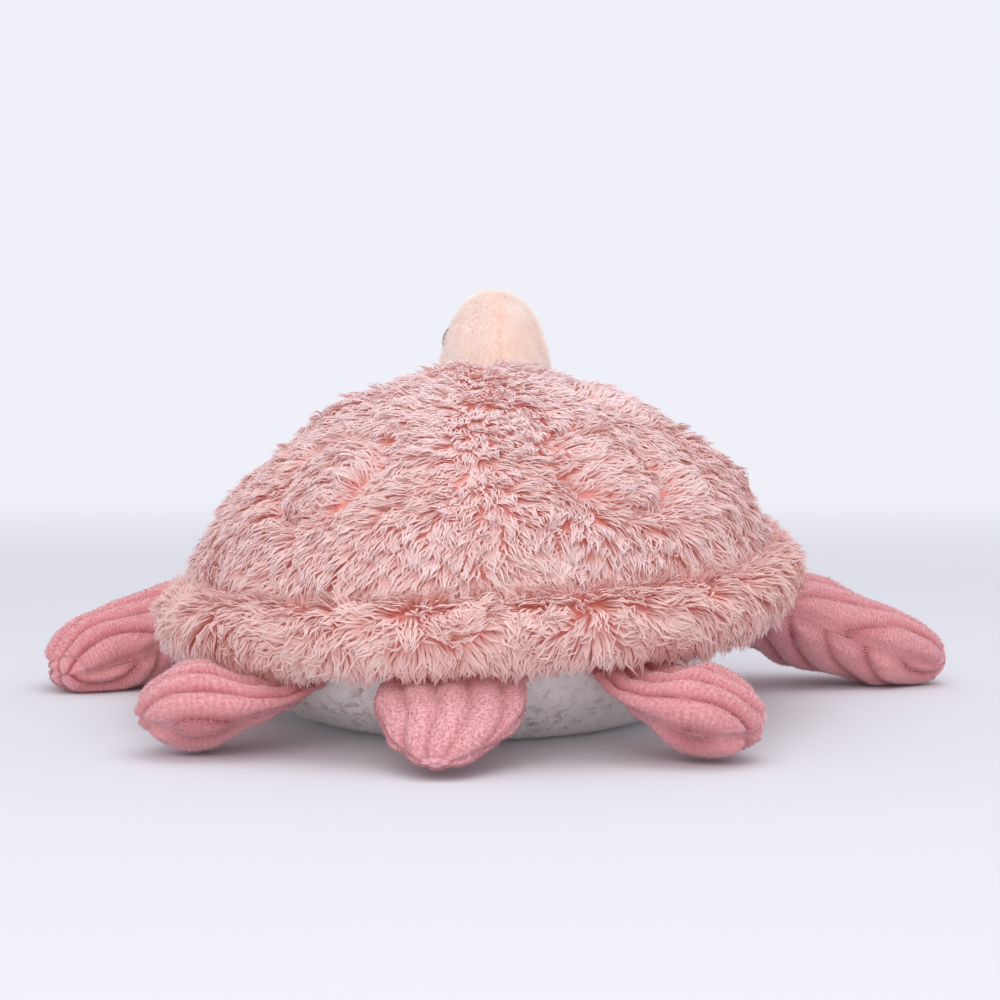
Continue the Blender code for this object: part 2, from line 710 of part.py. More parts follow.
def make_head(limb, neck_pivot, parts, cutters, cloth, filling, eye_black, washer_white):
    """The head's two panels, stuffing and eyes, turned a little to the left as it rests."""
    top = limb.frame(1.0)[0]
    pivot = make_pivot("head_pivot", top, Vector((0.0, 0.0, 1.0)), parts)
    rest = (Matrix.Translation(top) @ Matrix.Rotation(math.radians(HEAD_YAW), 4, "Z")
            @ Matrix.Translation((0.0, HEAD_REACH, HEAD_RISE)))
    inner = head_surface(HEAD_CLOTH + 2 * CLEARANCE)
    close_cut(inner)
    core = finish_mesh(mesh_of(inner, "head_stuffing"), "head_stuffing", parts)
    core.data.materials.append(filling)
    pieces = [core]
    shell = head_shell_mesh(parts)
    for side, word in ((-1, "left"), (1, "right")):
        panel = head_half(shell, side, f"head_{word}_panel", parts)
        panel.data.materials.append(cloth)
        place, outward = eye_place(side)
        eye = turned_at(f"eye_{word}", eye_profile(), False, place, outward, parts)
        eye.data.materials.append(eye_black)
        washer = turned_at(f"eye_washer_{word}", washer_profile(), True, place, outward, parts)
        washer.data.materials.append(washer_white)
        hole = [(0.0, -EYE_RADIUS), (EYE_STEM_RADIUS + CLEARANCE, -EYE_RADIUS),
                (EYE_STEM_RADIUS + CLEARANCE, EYE_RADIUS), (0.0, EYE_RADIUS)]
        hole_cutter = turned_at(f"eye_hole_cutter_{word}", hole, False, place, outward, cutters)
        room_cutter = turned_at(f"eye_room_cutter_{word}", eye_room_profile(), False, place, outward, cutters)
        cut(panel, hole_cutter)
        cut(core, room_cutter)
        for cutter in (hole_cutter, room_cutter):
            hide_cutter(cutter)
            cutter.data.transform(rest)
        pieces += [panel, eye, washer]
    for piece in pieces:
        piece.data.transform(rest)
        hang(piece, pivot)
    pivot.parent = neck_pivot
    pivot.matrix_parent_inverse = neck_pivot.matrix_world.inverted()


LIMBS = (
    Limb("front_right_flipper", FRONT_RIGHT_TURN, ((0.0, outward_heading(FRONT_RIGHT_TURN)), (1.0, -5.0)),
         ((0.0, -30.0), (0.3, -20.0), (1.0, -15.0)), FRONT_LENGTH, FRONT_WIDTH, FRONT_THICKNESS,
         FRONT_WIDTH_SHARES, FRONT_THICKNESS_SHARES, 0.74, 5, 8),
    Limb("front_left_flipper", FRONT_LEFT_TURN, ((0.0, outward_heading(FRONT_LEFT_TURN)), (1.0, 248.0)),
         ((0.0, -24.0), (0.3, -14.0), (1.0, -13.0)), FRONT_LENGTH, FRONT_WIDTH, FRONT_THICKNESS,
         FRONT_WIDTH_SHARES, FRONT_THICKNESS_SHARES, 0.74, 5, 8),
    Limb("rear_right_flipper", REAR_RIGHT_TURN, ((0.0, outward_heading(REAR_RIGHT_TURN)), (1.0, -6.0)),
         ((0.0, -34.0), (0.4, -18.0), (1.0, -10.0)), REAR_LENGTH, REAR_WIDTH, REAR_THICKNESS,
         REAR_WIDTH_SHARES, REAR_THICKNESS_SHARES, 0.6, 5, 7),
    Limb("rear_left_flipper", REAR_LEFT_TURN, ((0.0, outward_heading(REAR_LEFT_TURN)), (1.0, -188.0)),
         ((0.0, -20.0), (0.4, -6.0), (1.0, -4.0)), REAR_LENGTH, REAR_WIDTH, REAR_THICKNESS,
         REAR_WIDTH_SHARES, REAR_THICKNESS_SHARES, 0.6, 5, 7),
    Limb("tail", TAIL_TURN, ((0.0, -90.0), (1.0, -98.0)), ((0.0, -32.0), (1.0, -22.0)), TAIL_LENGTH, TAIL_WIDTH,
         TAIL_THICKNESS, TAIL_WIDTH_SHARES, TAIL_THICKNESS_SHARES, 0.3, 4, 7),
)
NECK = Limb("neck", NECK_TURN, ((0.0, 90.0), (0.5, 99.0)), ((0.0, -42.0), (0.3, 0.0), (0.62, 90.0), (1.0, 90.0)),
            NECK_LENGTH, NECK_WIDTH, NECK_THICKNESS, NECK_WIDTH_SHARES, NECK_THICKNESS_SHARES, 1.0, 0, 9)


def main():
    clear_scene()
    parts = make_collection("plush_turtle")
    cutters = make_collection("cutters")
    fur = paint("shell_fur", (0.78, 0.51, 0.50), 0.9)
    ribbed = paint("ribbed_cloth", (0.66, 0.27, 0.30), 0.9)
    belly = paint("belly_cloth", (0.74, 0.71, 0.68), 0.9)
    peach = paint("head_cloth", (0.93, 0.69, 0.60), 0.9)
    filling = paint("white_stuffing", (0.85, 0.85, 0.83), 1.0)
    eye_black = paint("eye_black", (0.01, 0.01, 0.012), 0.12)
    washer_white = paint("washer_white", (0.8, 0.8, 0.8), 0.5)
    make_shell(parts, cutters, fur, filling)
    make_rim(parts, fur, filling)
    make_belly(parts, belly, filling)
    for limb in LIMBS:
        make_limb(limb, parts, ribbed, filling)
    neck_pivot = make_neck(NECK, parts, peach, filling)
    make_head(NECK, neck_pivot, parts, cutters, peach, filling, eye_black, washer_white)


main()
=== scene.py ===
"""A plush sea turtle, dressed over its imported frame: a quilted shell of long pile with a rolled rim,
a speckled belly, ribbed flippers and tail, and a short-piled head, in a pale studio."""

import json
import logging
import math
from dataclasses import dataclass, field
from enum import Enum
from typing import Any, Callable

import bpy
import numpy as np
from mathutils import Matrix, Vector, kdtree


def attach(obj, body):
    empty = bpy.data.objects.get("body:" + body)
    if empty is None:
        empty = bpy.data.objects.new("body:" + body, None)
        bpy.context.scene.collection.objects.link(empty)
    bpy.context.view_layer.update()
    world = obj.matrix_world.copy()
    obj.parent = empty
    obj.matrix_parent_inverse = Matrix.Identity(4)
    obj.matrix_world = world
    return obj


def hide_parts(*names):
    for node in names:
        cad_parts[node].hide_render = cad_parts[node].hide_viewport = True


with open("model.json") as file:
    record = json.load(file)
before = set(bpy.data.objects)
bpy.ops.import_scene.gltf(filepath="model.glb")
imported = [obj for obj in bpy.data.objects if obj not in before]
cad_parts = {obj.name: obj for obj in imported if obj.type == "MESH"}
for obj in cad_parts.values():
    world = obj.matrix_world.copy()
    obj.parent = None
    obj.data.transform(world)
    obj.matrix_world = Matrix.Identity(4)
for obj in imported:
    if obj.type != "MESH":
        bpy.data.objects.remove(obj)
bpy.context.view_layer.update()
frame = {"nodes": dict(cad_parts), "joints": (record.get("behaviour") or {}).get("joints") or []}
LOG = logging.getLogger("plush_turtle")
Array = np.ndarray
Colour = tuple[float, float, float, float]
Pairs = tuple[tuple[float, float], ...]
Surface = Callable[[Array, Array], Array]
MM = 0.001
CLOTH_THICKNESS = 0.0012
TOUSLE = 0.26
EVEN_STEPS = (0.7548776662466927, 0.5698402909980532)
WHITE = (1.0, 1.0, 1.0, 1.0)
LEVEL = np.array([1.0, 1.0, 0.0])


def srgb(red: int, green: int, blue: int) -> Colour:
    """A colour as it is seen on screen, turned into the linear colour that a shader takes.

    Args:
        red: Red, 0 to 255.
        green: Green, 0 to 255.
        blue: Blue, 0 to 255.

    Returns:
        The linear colour with an alpha of 1.
    """
    def linear(value: int) -> float:
        """One channel in linear light."""
        share = value / 255
        return share / 12.92 if share <= 0.04045 else ((share + 0.055) / 1.055) ** 2.4
    return linear(red), linear(green), linear(blue), 1.0


def unit(vectors: Array) -> Array:
    """The vectors scaled to length one."""
    return vectors / np.maximum(np.linalg.norm(vectors, axis=-1, keepdims=True), 1e-9)


def dot(first: Array, second: Array) -> Array:
    """The dot product of each two vectors, kept as a column."""
    return np.sum(first * second, -1, keepdims=True)


def laid(vectors: Array, normals: Array) -> Array:
    """Vectors laid down on a cloth with the given normals, scaled to length one."""
    return unit(vectors - normals * dot(vectors, normals))


def facing(normals: Array, outward: Array) -> Array:
    """Normals turned round where they point the other way than outward."""
    return normals * np.sign(dot(normals, outward))


def smooth(share: Array) -> Array:
    """An even rise from 0 to 1 that starts and ends level."""
    share = np.clip(share, 0.0, 1.0)
    return share * share * (3.0 - 2.0 * share)


def blend(pairs: Pairs, share: Array) -> Array:
    """Smooth values between (share, value) pairs in order.

    Args:
        pairs: Shares in rising order, each with its value.
        share: Where to read the values.

    Returns:
        The values, one for each share.
    """
    share = np.asarray(share, float)
    value = np.full(share.shape, pairs[0][1], float)
    for (low, first), (high, second) in zip(pairs, pairs[1:]):
        ease = (1.0 - np.cos(math.pi * np.clip((share - low) / (high - low), 0.0, 1.0))) / 2
        value = np.where(share >= low, first + (second - first) * ease, value)
    return value


def waves(points: Array, pitch: float, seed: int) -> Array:
    """Soft random swells over space, about -1 to 1.

    Args:
        points: Where to read them, in metres.
        pitch: The distance between swells, in metres.
        seed: Picks the pattern.

    Returns:
        One value for each point.
    """
    swells, height = 7, 2.6
    draw = np.random.default_rng(seed)
    total = np.zeros(len(points))
    for _ in range(swells):
        heading = unit(draw.normal(size=3)) * (draw.uniform(0.6, 1.5) * math.tau / pitch)
        total += np.sin(points @ heading + draw.uniform(0, math.tau))
    return total / height


class Wire:
    """A shader socket that takes part in number expressions."""

    def __init__(self, tree: "Tree", socket: bpy.types.NodeSocket) -> None:
        """Keeps the socket and the tree that it is in."""
        self.tree = tree
        self.socket = socket

    def _sum(self, operation: str, first: Any, second: Any) -> "Wire":
        """A Math node on two values."""
        return self.tree.wire("ShaderNodeMath", 0, {"operation": operation}, {0: first, 1: second})

    def __add__(self, other: Any) -> "Wire":
        """This value and another."""
        return self._sum("ADD", self, other)

    def __radd__(self, other: Any) -> "Wire":
        """Another value and this one."""
        return self._sum("ADD", other, self)

    def __mul__(self, other: Any) -> "Wire":
        """This value times another."""
        return self._sum("MULTIPLY", self, other)

    def __rmul__(self, other: Any) -> "Wire":
        """Another value times this one."""
        return self._sum("MULTIPLY", other, self)

    def sine(self) -> "Wire":
        """The sine of this value."""
        return self._sum("SINE", self, 0.0)


class Tree:
    """A material's or the world's node tree."""

    def __init__(self, owner: bpy.types.ID) -> None:
        """Keeps the node tree of its owner.

        Args:
            owner: The material or the world.
        """
        owner.use_nodes = True
        self.nodes = owner.node_tree.nodes
        self.links = owner.node_tree.links

    def wire(self, kind: str, output: str | int, settings: dict[str, Any] | None = None,
             inputs: dict[str | int, Any] | None = None) -> Wire:
        """Adds a node.

        Args:
            kind: The node's type.
            output: Which of its outputs is wanted.
            settings: What is set first, such as an operation or a ramp's stops.
            inputs: Values or links by socket.

        Returns:
            The output.
        """
        made = self.nodes.new(kind)
        for key, value in (settings or {}).items():
            if key == "stops":
                ramp = made.color_ramp.elements
                while len(ramp) < len(value):
                    ramp.new(1.0)
                for stop, (place, colour) in zip(ramp, value):
                    stop.position, stop.color = place, colour
            else:
                setattr(made, key, value)
        for key, value in (inputs or {}).items():
            self.feed(made.inputs[key], value)
        return Wire(self, made.outputs[output])

    def feed(self, socket: bpy.types.NodeSocket, value: Any) -> None:
        """Links a socket, or sets its value where there is nothing to link.

        Args:
            socket: An input socket.
            value: A wire or a plain value.
        """
        if isinstance(value, Wire):
            self.links.new(value.socket, socket)
        else:
            socket.default_value = value


class Shader(Tree):
    """One material, made from a Principled shader."""

    def __init__(self, name: str, roughness: float, sheen: float = 0.0) -> None:
        """Makes the material.

        Args:
            name: The material's name.
            roughness: The surface's roughness.
            sheen: How much fibre sheen it has.
        """
        self.material = bpy.data.materials.new(name)
        super().__init__(self.material)
        self.surface = self.nodes["Principled BSDF"]
        for socket, value in (("Roughness", roughness), ("Sheen Weight", sheen), ("Sheen Roughness", 0.5),
                              ("Sheen Tint", srgb(255, 226, 228)), ("Specular IOR Level", 0.2)):
            self.surface.inputs[socket].default_value = value

    def reading(self, name: str) -> Wire:
        """A number that the mesh carries at each of its points."""
        return self.wire("ShaderNodeAttribute", "Fac", {"attribute_name": name})

    def place(self) -> Wire:
        """Where the point is, in the object's own space."""
        return self.wire("ShaderNodeTexCoord", "Object")

    def height(self) -> Wire:
        """How high the point is, in metres."""
        return self.wire("ShaderNodeSeparateXYZ", "Z", None, {0: self.place()})

    def noise(self, scale: float, detail: float = 3.0) -> Wire:
        """Noise over the object's own space, 0 to 1, with so many swells in a metre and so many octaves."""
        inputs = {"Vector": self.place(), "Scale": scale, "Detail": detail, "Roughness": 0.55}
        return self.wire("ShaderNodeTexNoise", "Fac", None, inputs)

    def ramp(self, value: Wire, *stops: tuple[float, Colour]) -> Wire:
        """A colour for a value, from stops of place and colour."""
        return self.wire("ShaderNodeValToRGB", "Color", {"stops": stops}, {"Fac": value})

    def mix(self, share: Any, first: Any, second: Any, way: str = "MIX") -> Wire:
        """Two colours mixed by a share.

        Args:
            share: How much of the second.
            first: A colour or a wire.
            second: A colour or a wire.
            way: The mix's blend type.

        Returns:
            The mixed colour.
        """
        settings = {"data_type": "RGBA", "blend_type": way}
        return self.wire("ShaderNodeMix", 2, settings, {0: share, 6: first, 7: second})

    def span(self, value: Wire, low: float, high: float, to_low: float = 0.0, to_high: float = 1.0) -> Wire:
        """A value's stretch from low to high, turned into another."""
        inputs = {"Value": value, "From Min": low, "From Max": high, "To Min": to_low, "To Max": to_high}
        return self.wire("ShaderNodeMapRange", 0, {"interpolation_type": "SMOOTHSTEP"}, inputs)

    def scatter(self, colour: Wire | Colour, strength: float) -> None:
        """Adds painted glow: an emission that stands in for the faint light that fine fibre scatters on from
        deep in the pile.

        Args:
            colour: The painted glow's colour.
            strength: How strong it is beside white.
        """
        self.feed(self.surface.inputs["Emission Color"], colour)
        self.surface.inputs["Emission Strength"].default_value = strength

    def paint(self, colour: Wire, roughness: Wire | None = None, height: Wire | None = None,
              depth: float = 0.0) -> bpy.types.Material:
        """Feeds the surface.

        Args:
            colour: The base colour.
            roughness: The roughness, where it varies.
            height: The bump's height, 0 to 1.
            depth: The bump's full depth, in metres.

        Returns:
            The finished material.
        """
        self.feed(self.surface.inputs["Base Color"], colour)
        if roughness is not None:
            self.feed(self.surface.inputs["Roughness"], roughness)
        if height is not None:
            inputs = {"Height": height, "Distance": depth, "Strength": 1.0}
            self.feed(self.surface.inputs["Normal"], self.wire("ShaderNodeBump", "Normal", None, inputs))
        return self.material


@dataclass(frozen=True)
class BodyForm:
    """The body's form, as the frame has it: a dome and a belly that meet at a sagging rolled rim."""

    half_width: float = 0.103
    half_length: float = 0.127
    top: float = 0.1405
    rest_half_width: float = 0.062
    roundness: float = 1.75
    belly_roundness: float = 1.7
    rim_radius: float = 0.0117
    cloth: float = 0.0093
    rim_heights: tuple[float, ...] = (0.058, 0.070, 0.072, 0.062, 0.040, 0.042, 0.047, 0.050)
    seam_drop: float = 0.0170
    seam_radius: float = 0.0030
    clearance: float = 0.0003

    @property
    def rim_level(self) -> float:
        """The rim's mean height."""
        return sum(self.rim_heights) / len(self.rim_heights)

    def rim_height(self, turn: Array) -> Array:
        """Height of the rim's middle at a turn in radians.

        Args:
            turn: Angles from the right side toward the head, in radians.

        Returns:
            The heights over the floor.
        """
        count = len(self.rim_heights)
        place = (np.asarray(turn) / math.tau) % 1.0 * count
        first = np.floor(place).astype(int) % count
        heights = np.array(self.rim_heights)
        ease = (1.0 - np.cos(math.pi * (place - np.floor(place)))) / 2
        return heights[first] + (heights[(first + 1) % count] - heights[first]) * ease

    def settle(self, radius: Array, turn: Array, height: Array) -> Array:
        """Moves points of the round, level body to the oval plan and the sagging rim.

        Args:
            radius: Distance from the middle.
            turn: Angle from the right side toward the head, in radians.
            height: Height over the floor.

        Returns:
            The points, one row each.
        """
        stretch = (self.half_length - self.half_width) * np.minimum(1.0, radius / self.half_width)
        above = self.rim_level + self.rim_radius
        foot = self.rim_level - self.seam_drop - self.seam_radius
        upper = 1.0 - smooth((height - above) / (self.top - above))
        share = np.where(height > self.rim_level, upper, smooth(height / foot))
        lift = (self.rim_height(turn) - self.rim_level) * share
        return np.stack([radius * np.cos(turn), (radius + stretch) * np.sin(turn), height + lift], axis=-1)

    def dome(self, turn: Array, fall: Array) -> Array:
        """Points on the dome's outer face; fall is 0 at the top and 1 at its foot.

        Args:
            turn: Angles from the right side toward the head, in radians.
            fall: Shares of the way down.

        Returns:
            The points.
        """
        angle = math.pi / 2 * np.asarray(fall)
        base = self.rim_level + self.rim_radius
        radius = (self.half_width + self.cloth) * np.sin(angle) ** (2 / self.roundness)
        height = base + (self.top - base) * np.maximum(0.0, np.cos(angle)) ** (2 / self.roundness)
        return self.settle(radius, np.asarray(turn), height)

    def rim(self, turn: Array, roll: Array, radius: float) -> Array:
        """Points round the rim's roll; roll is 0 outward and a quarter turn is up.

        Args:
            turn: Angles from the right side toward the head, in radians.
            roll: Angles round the roll, in radians.
            radius: How far from the roll's middle.

        Returns:
            The points.
        """
        centre = self.half_width + self.rim_radius
        reach = centre + radius * np.cos(roll)
        level = np.full_like(reach, self.rim_level)
        points = self.settle(reach, np.asarray(turn), level)
        points[..., 2] += radius * np.sin(roll)
        return points

    def belly(self, turn: Array, fall: Array) -> Array:
        """Points on the belly's side; fall is 0 at the seam line and 1 at the flat patch.

        Args:
            turn: Angles from the right side toward the head, in radians.
            fall: Shares of the way down.

        Returns:
            The points.
        """
        angle = math.pi / 2 * np.asarray(fall)
        power = 2 / self.belly_roundness
        wider = self.half_width - self.clearance - self.rest_half_width
        radius = self.rest_half_width + wider * np.maximum(0.0, np.cos(angle)) ** power
        height = self.rim_level - self.rim_level * np.sin(angle) ** power
        return self.settle(radius, np.asarray(turn), height)


BODY = BodyForm()


@dataclass(frozen=True)
class LimbForm:
    """One limb's form, as the frame has it: a bent path with shares of width and thickness."""

    name: str
    headings: Pairs
    pitches: Pairs
    length: float
    width: float
    thickness: float
    width_shares: Pairs
    thickness_shares: Pairs
    tip_share: float
    level_share: float = 0.4
    floor: float = 0.0010

    def root(self) -> Array:
        """The middle of the limb's seam: the joint's place in the frame."""
        return np.array(JOINTS[self.name]["pos_m"], float)

    def hinge(self) -> Array:
        """The direction of the limb's seam: the joint's axis in the frame."""
        return unit(np.array(JOINTS[self.name]["axis"], float))

    def directions(self, share: Array) -> tuple[Array, Array, Array]:
        """Along, across and up at shares of the length.

        Args:
            share: Shares of the length.

        Returns:
            The three directions, each of length one.
        """
        heading = np.radians(blend(self.headings, share))
        pitch = np.radians(blend(self.pitches, share))
        ahead = np.stack([np.cos(heading), np.sin(heading)], -1) * np.cos(pitch)[..., None]
        along = np.concatenate([ahead, np.sin(pitch)[..., None]], -1)
        level = np.stack([-np.sin(heading), np.cos(heading), np.zeros_like(heading)], -1)
        lean = smooth(np.asarray(share) / self.level_share)[..., None]
        across = unit(self.hinge() + (level - self.hinge()) * lean)
        along = laid(along, across)
        return along, across, np.cross(along, across)

    def path(self, steps: int = 240) -> Array:
        """The path's places at even shares of the length.

        Args:
            steps: How many steps it is made of.

        Returns:
            The places, from the root to the tip.
        """
        middles = (np.arange(steps) + 0.5) / steps
        along = self.directions(middles)[0] * (self.length / steps)
        return self.root() + np.vstack([np.zeros(3), np.cumsum(along, 0)])

    def past(self, share: Array) -> Array:
        """How far into the rounding of the tip a share of the length is, 0 to 1.

        Args:
            share: Shares of the length.

        Returns:
            The shares of the rounding.
        """
        rounding = 1.0 - self.tip_share
        beyond = (np.asarray(share) - self.tip_share) / max(rounding, 1e-6)
        return np.clip(beyond, 0.0, float(rounding > 0.0))

    def closing(self, share: Array) -> Array:
        """How much of the section is left where the limb rounds off to its tip, 1 to 0."""
        return np.sqrt(np.maximum(0.0, 1.0 - self.past(share) ** 2))

    def skin(self, share: Array, angle: Array, swell: Array | float = 0.0) -> tuple[Array, Array]:
        """Points on the limb's skin.

        Args:
            share: Shares of the length from its seam to its tip.
            angle: Angle round the section, in radians; a quarter turn is up.
            swell: How far the skin stands out from the frame's outer face.

        Returns:
            The points, and the directions out of the skin's section.
        """
        start = BODY.seam_radius + BODY.clearance
        reach = (start + (self.length - start) * share) / self.length
        path = self.path()
        steps = np.linspace(0.0, 1.0, len(path))
        place = np.stack([np.interp(reach, steps, path[:, axis]) for axis in range(3)], -1)
        along, across, up = self.directions(reach)
        closing = self.closing(share)
        wide = (self.width / 2 * blend(self.width_shares, share)) * closing
        thick = (self.thickness / 2 * blend(self.thickness_shares, share)) * closing
        section = across * (wide * np.cos(angle))[..., None] + up * (thick * np.sin(angle))[..., None]
        out = across * (thick * np.cos(angle))[..., None] + up * (wide * np.sin(angle))[..., None]
        out = unit(unit(out) * np.maximum(closing, 0.02)[..., None] + along * self.past(share)[..., None])
        points = place + section + out * np.asarray(swell)[..., None]
        points[..., 2] = np.maximum(points[..., 2], self.floor)
        return points, out


JOINTS = {joint["child"]: joint for joint in frame["joints"]}
FRONT_WIDTHS = ((0.0, 0.72), (0.35, 1.0), (0.75, 0.86), (1.0, 0.7))
FRONT_THICKNESSES = ((0.0, 0.26), (0.1, 0.42), (0.16, 0.6), (0.27, 0.88), (0.42, 1.0), (0.75, 0.86),
                     (1.0, 0.8))
FRONT_SIZES = (0.121, 0.062, 0.041, FRONT_WIDTHS, FRONT_THICKNESSES, 0.74)
REAR_WIDTHS = ((0.0, 0.84), (0.4, 1.0), (1.0, 0.96))
REAR_THICKNESSES = ((0.0, 0.3), (0.18, 0.42), (0.3, 0.6), (0.55, 1.0), (1.0, 0.92))
REAR_SIZES = (0.057, 0.050, 0.032, REAR_WIDTHS, REAR_THICKNESSES, 0.6)
NECK_WIDTHS = ((0.0, 0.96), (0.4, 1.0), (1.0, 0.74))
NECK_THICKNESSES = ((0.0, 0.28), (0.12, 0.5), (0.2, 0.66), (0.4, 1.0), (0.62, 0.9), (1.0, 0.92))
TAIL_WIDTHS = ((0.0, 0.96), (0.2, 1.0), (0.65, 0.86), (1.0, 0.70))
TAIL_THICKNESSES = ((0.0, 0.55), (0.3, 0.8), (0.55, 1.0), (1.0, 0.8))


def add_object(name: str, content: bpy.types.ID) -> bpy.types.Object:
    """Makes an object in the scene from a mesh, a lamp or a camera.

    Args:
        name: The object's name.
        content: What it shows.

    Returns:
        The object.
    """
    thing = bpy.data.objects.new(name, content)
    bpy.context.scene.collection.objects.link(thing)
    return thing


def add_mesh(name: str, points: Array, faces: list[Array], readings: dict[str, Array] | None = None,
             uv: Array | None = None) -> bpy.types.Object:
    """Makes a smooth mesh object.

    Args:
        name: The piece's name.
        points: Its points.
        faces: Its faces' point numbers, in one array for each number of corners.
        readings: Numbers that each point carries, by name.
        uv: Each point's place in the UV map named OFBake.

    Returns:
        The object, linked to the scene.
    """
    mesh = bpy.data.meshes.new(name)
    corners = np.concatenate([some.ravel() for some in faces]).astype(np.int32)
    sizes = np.concatenate([np.full(*some.shape, np.int32) for some in faces])
    mesh.vertices.add(len(points))
    mesh.vertices.foreach_set("co", np.asarray(points, np.float32).ravel())
    mesh.loops.add(len(corners))
    mesh.loops.foreach_set("vertex_index", corners)
    mesh.polygons.add(len(sizes))
    mesh.polygons.foreach_set("loop_start", np.cumsum(sizes, dtype=np.int32) - sizes)
    mesh.polygons.foreach_set("loop_total", sizes)
    mesh.update(calc_edges=True)
    mesh.validate()
    for key, values in (readings or {}).items():
        layer = mesh.attributes.new(key, "FLOAT", "POINT")
        layer.data.foreach_set("value", np.asarray(values, np.float32))
    if uv is not None:
        layer = mesh.uv_layers.new(name="OFBake")
        layer.data.foreach_set("uv", np.asarray(uv, np.float32)[corners].ravel())
    mesh.shade_smooth()
    return add_object(name, mesh)


def grid(first: Array, second: Array) -> tuple[Array, Array]:
    """Every pair of a number of the first row and one of the second, which runs faster."""
    pairs = np.meshgrid(first, second, indexing="ij")
    return pairs[0].ravel(), pairs[1].ravel()


def round_turns(count: int) -> Array:
    """Evenly spread angles once round, in radians."""
    return np.arange(count) / count * math.tau


def quads(columns: int, rows: int, ring: bool = False, tube: bool = False) -> Array:
    """The four-cornered faces over points that lie in columns.

    Args:
        columns: How many columns there are.
        rows: How many points a column has.
        ring: Whether the last column meets the first.
        tube: Whether each column's last point meets its first.

    Returns:
        Each face's point numbers.
    """
    column, row = grid(np.arange(columns - 1 + ring), np.arange(rows - 1 + tube))
    low, high, after = column * rows, (column + 1) % columns * rows, (row + 1) % rows
    return np.stack([low + row, low + after, high + after, high + row], -1)


def fan(edge: Array, middle: int) -> Array:
    """The three-cornered faces between a closed edge's points and one in its middle."""
    return np.stack([edge, np.roll(edge, -1), np.full_like(edge, middle)], -1)


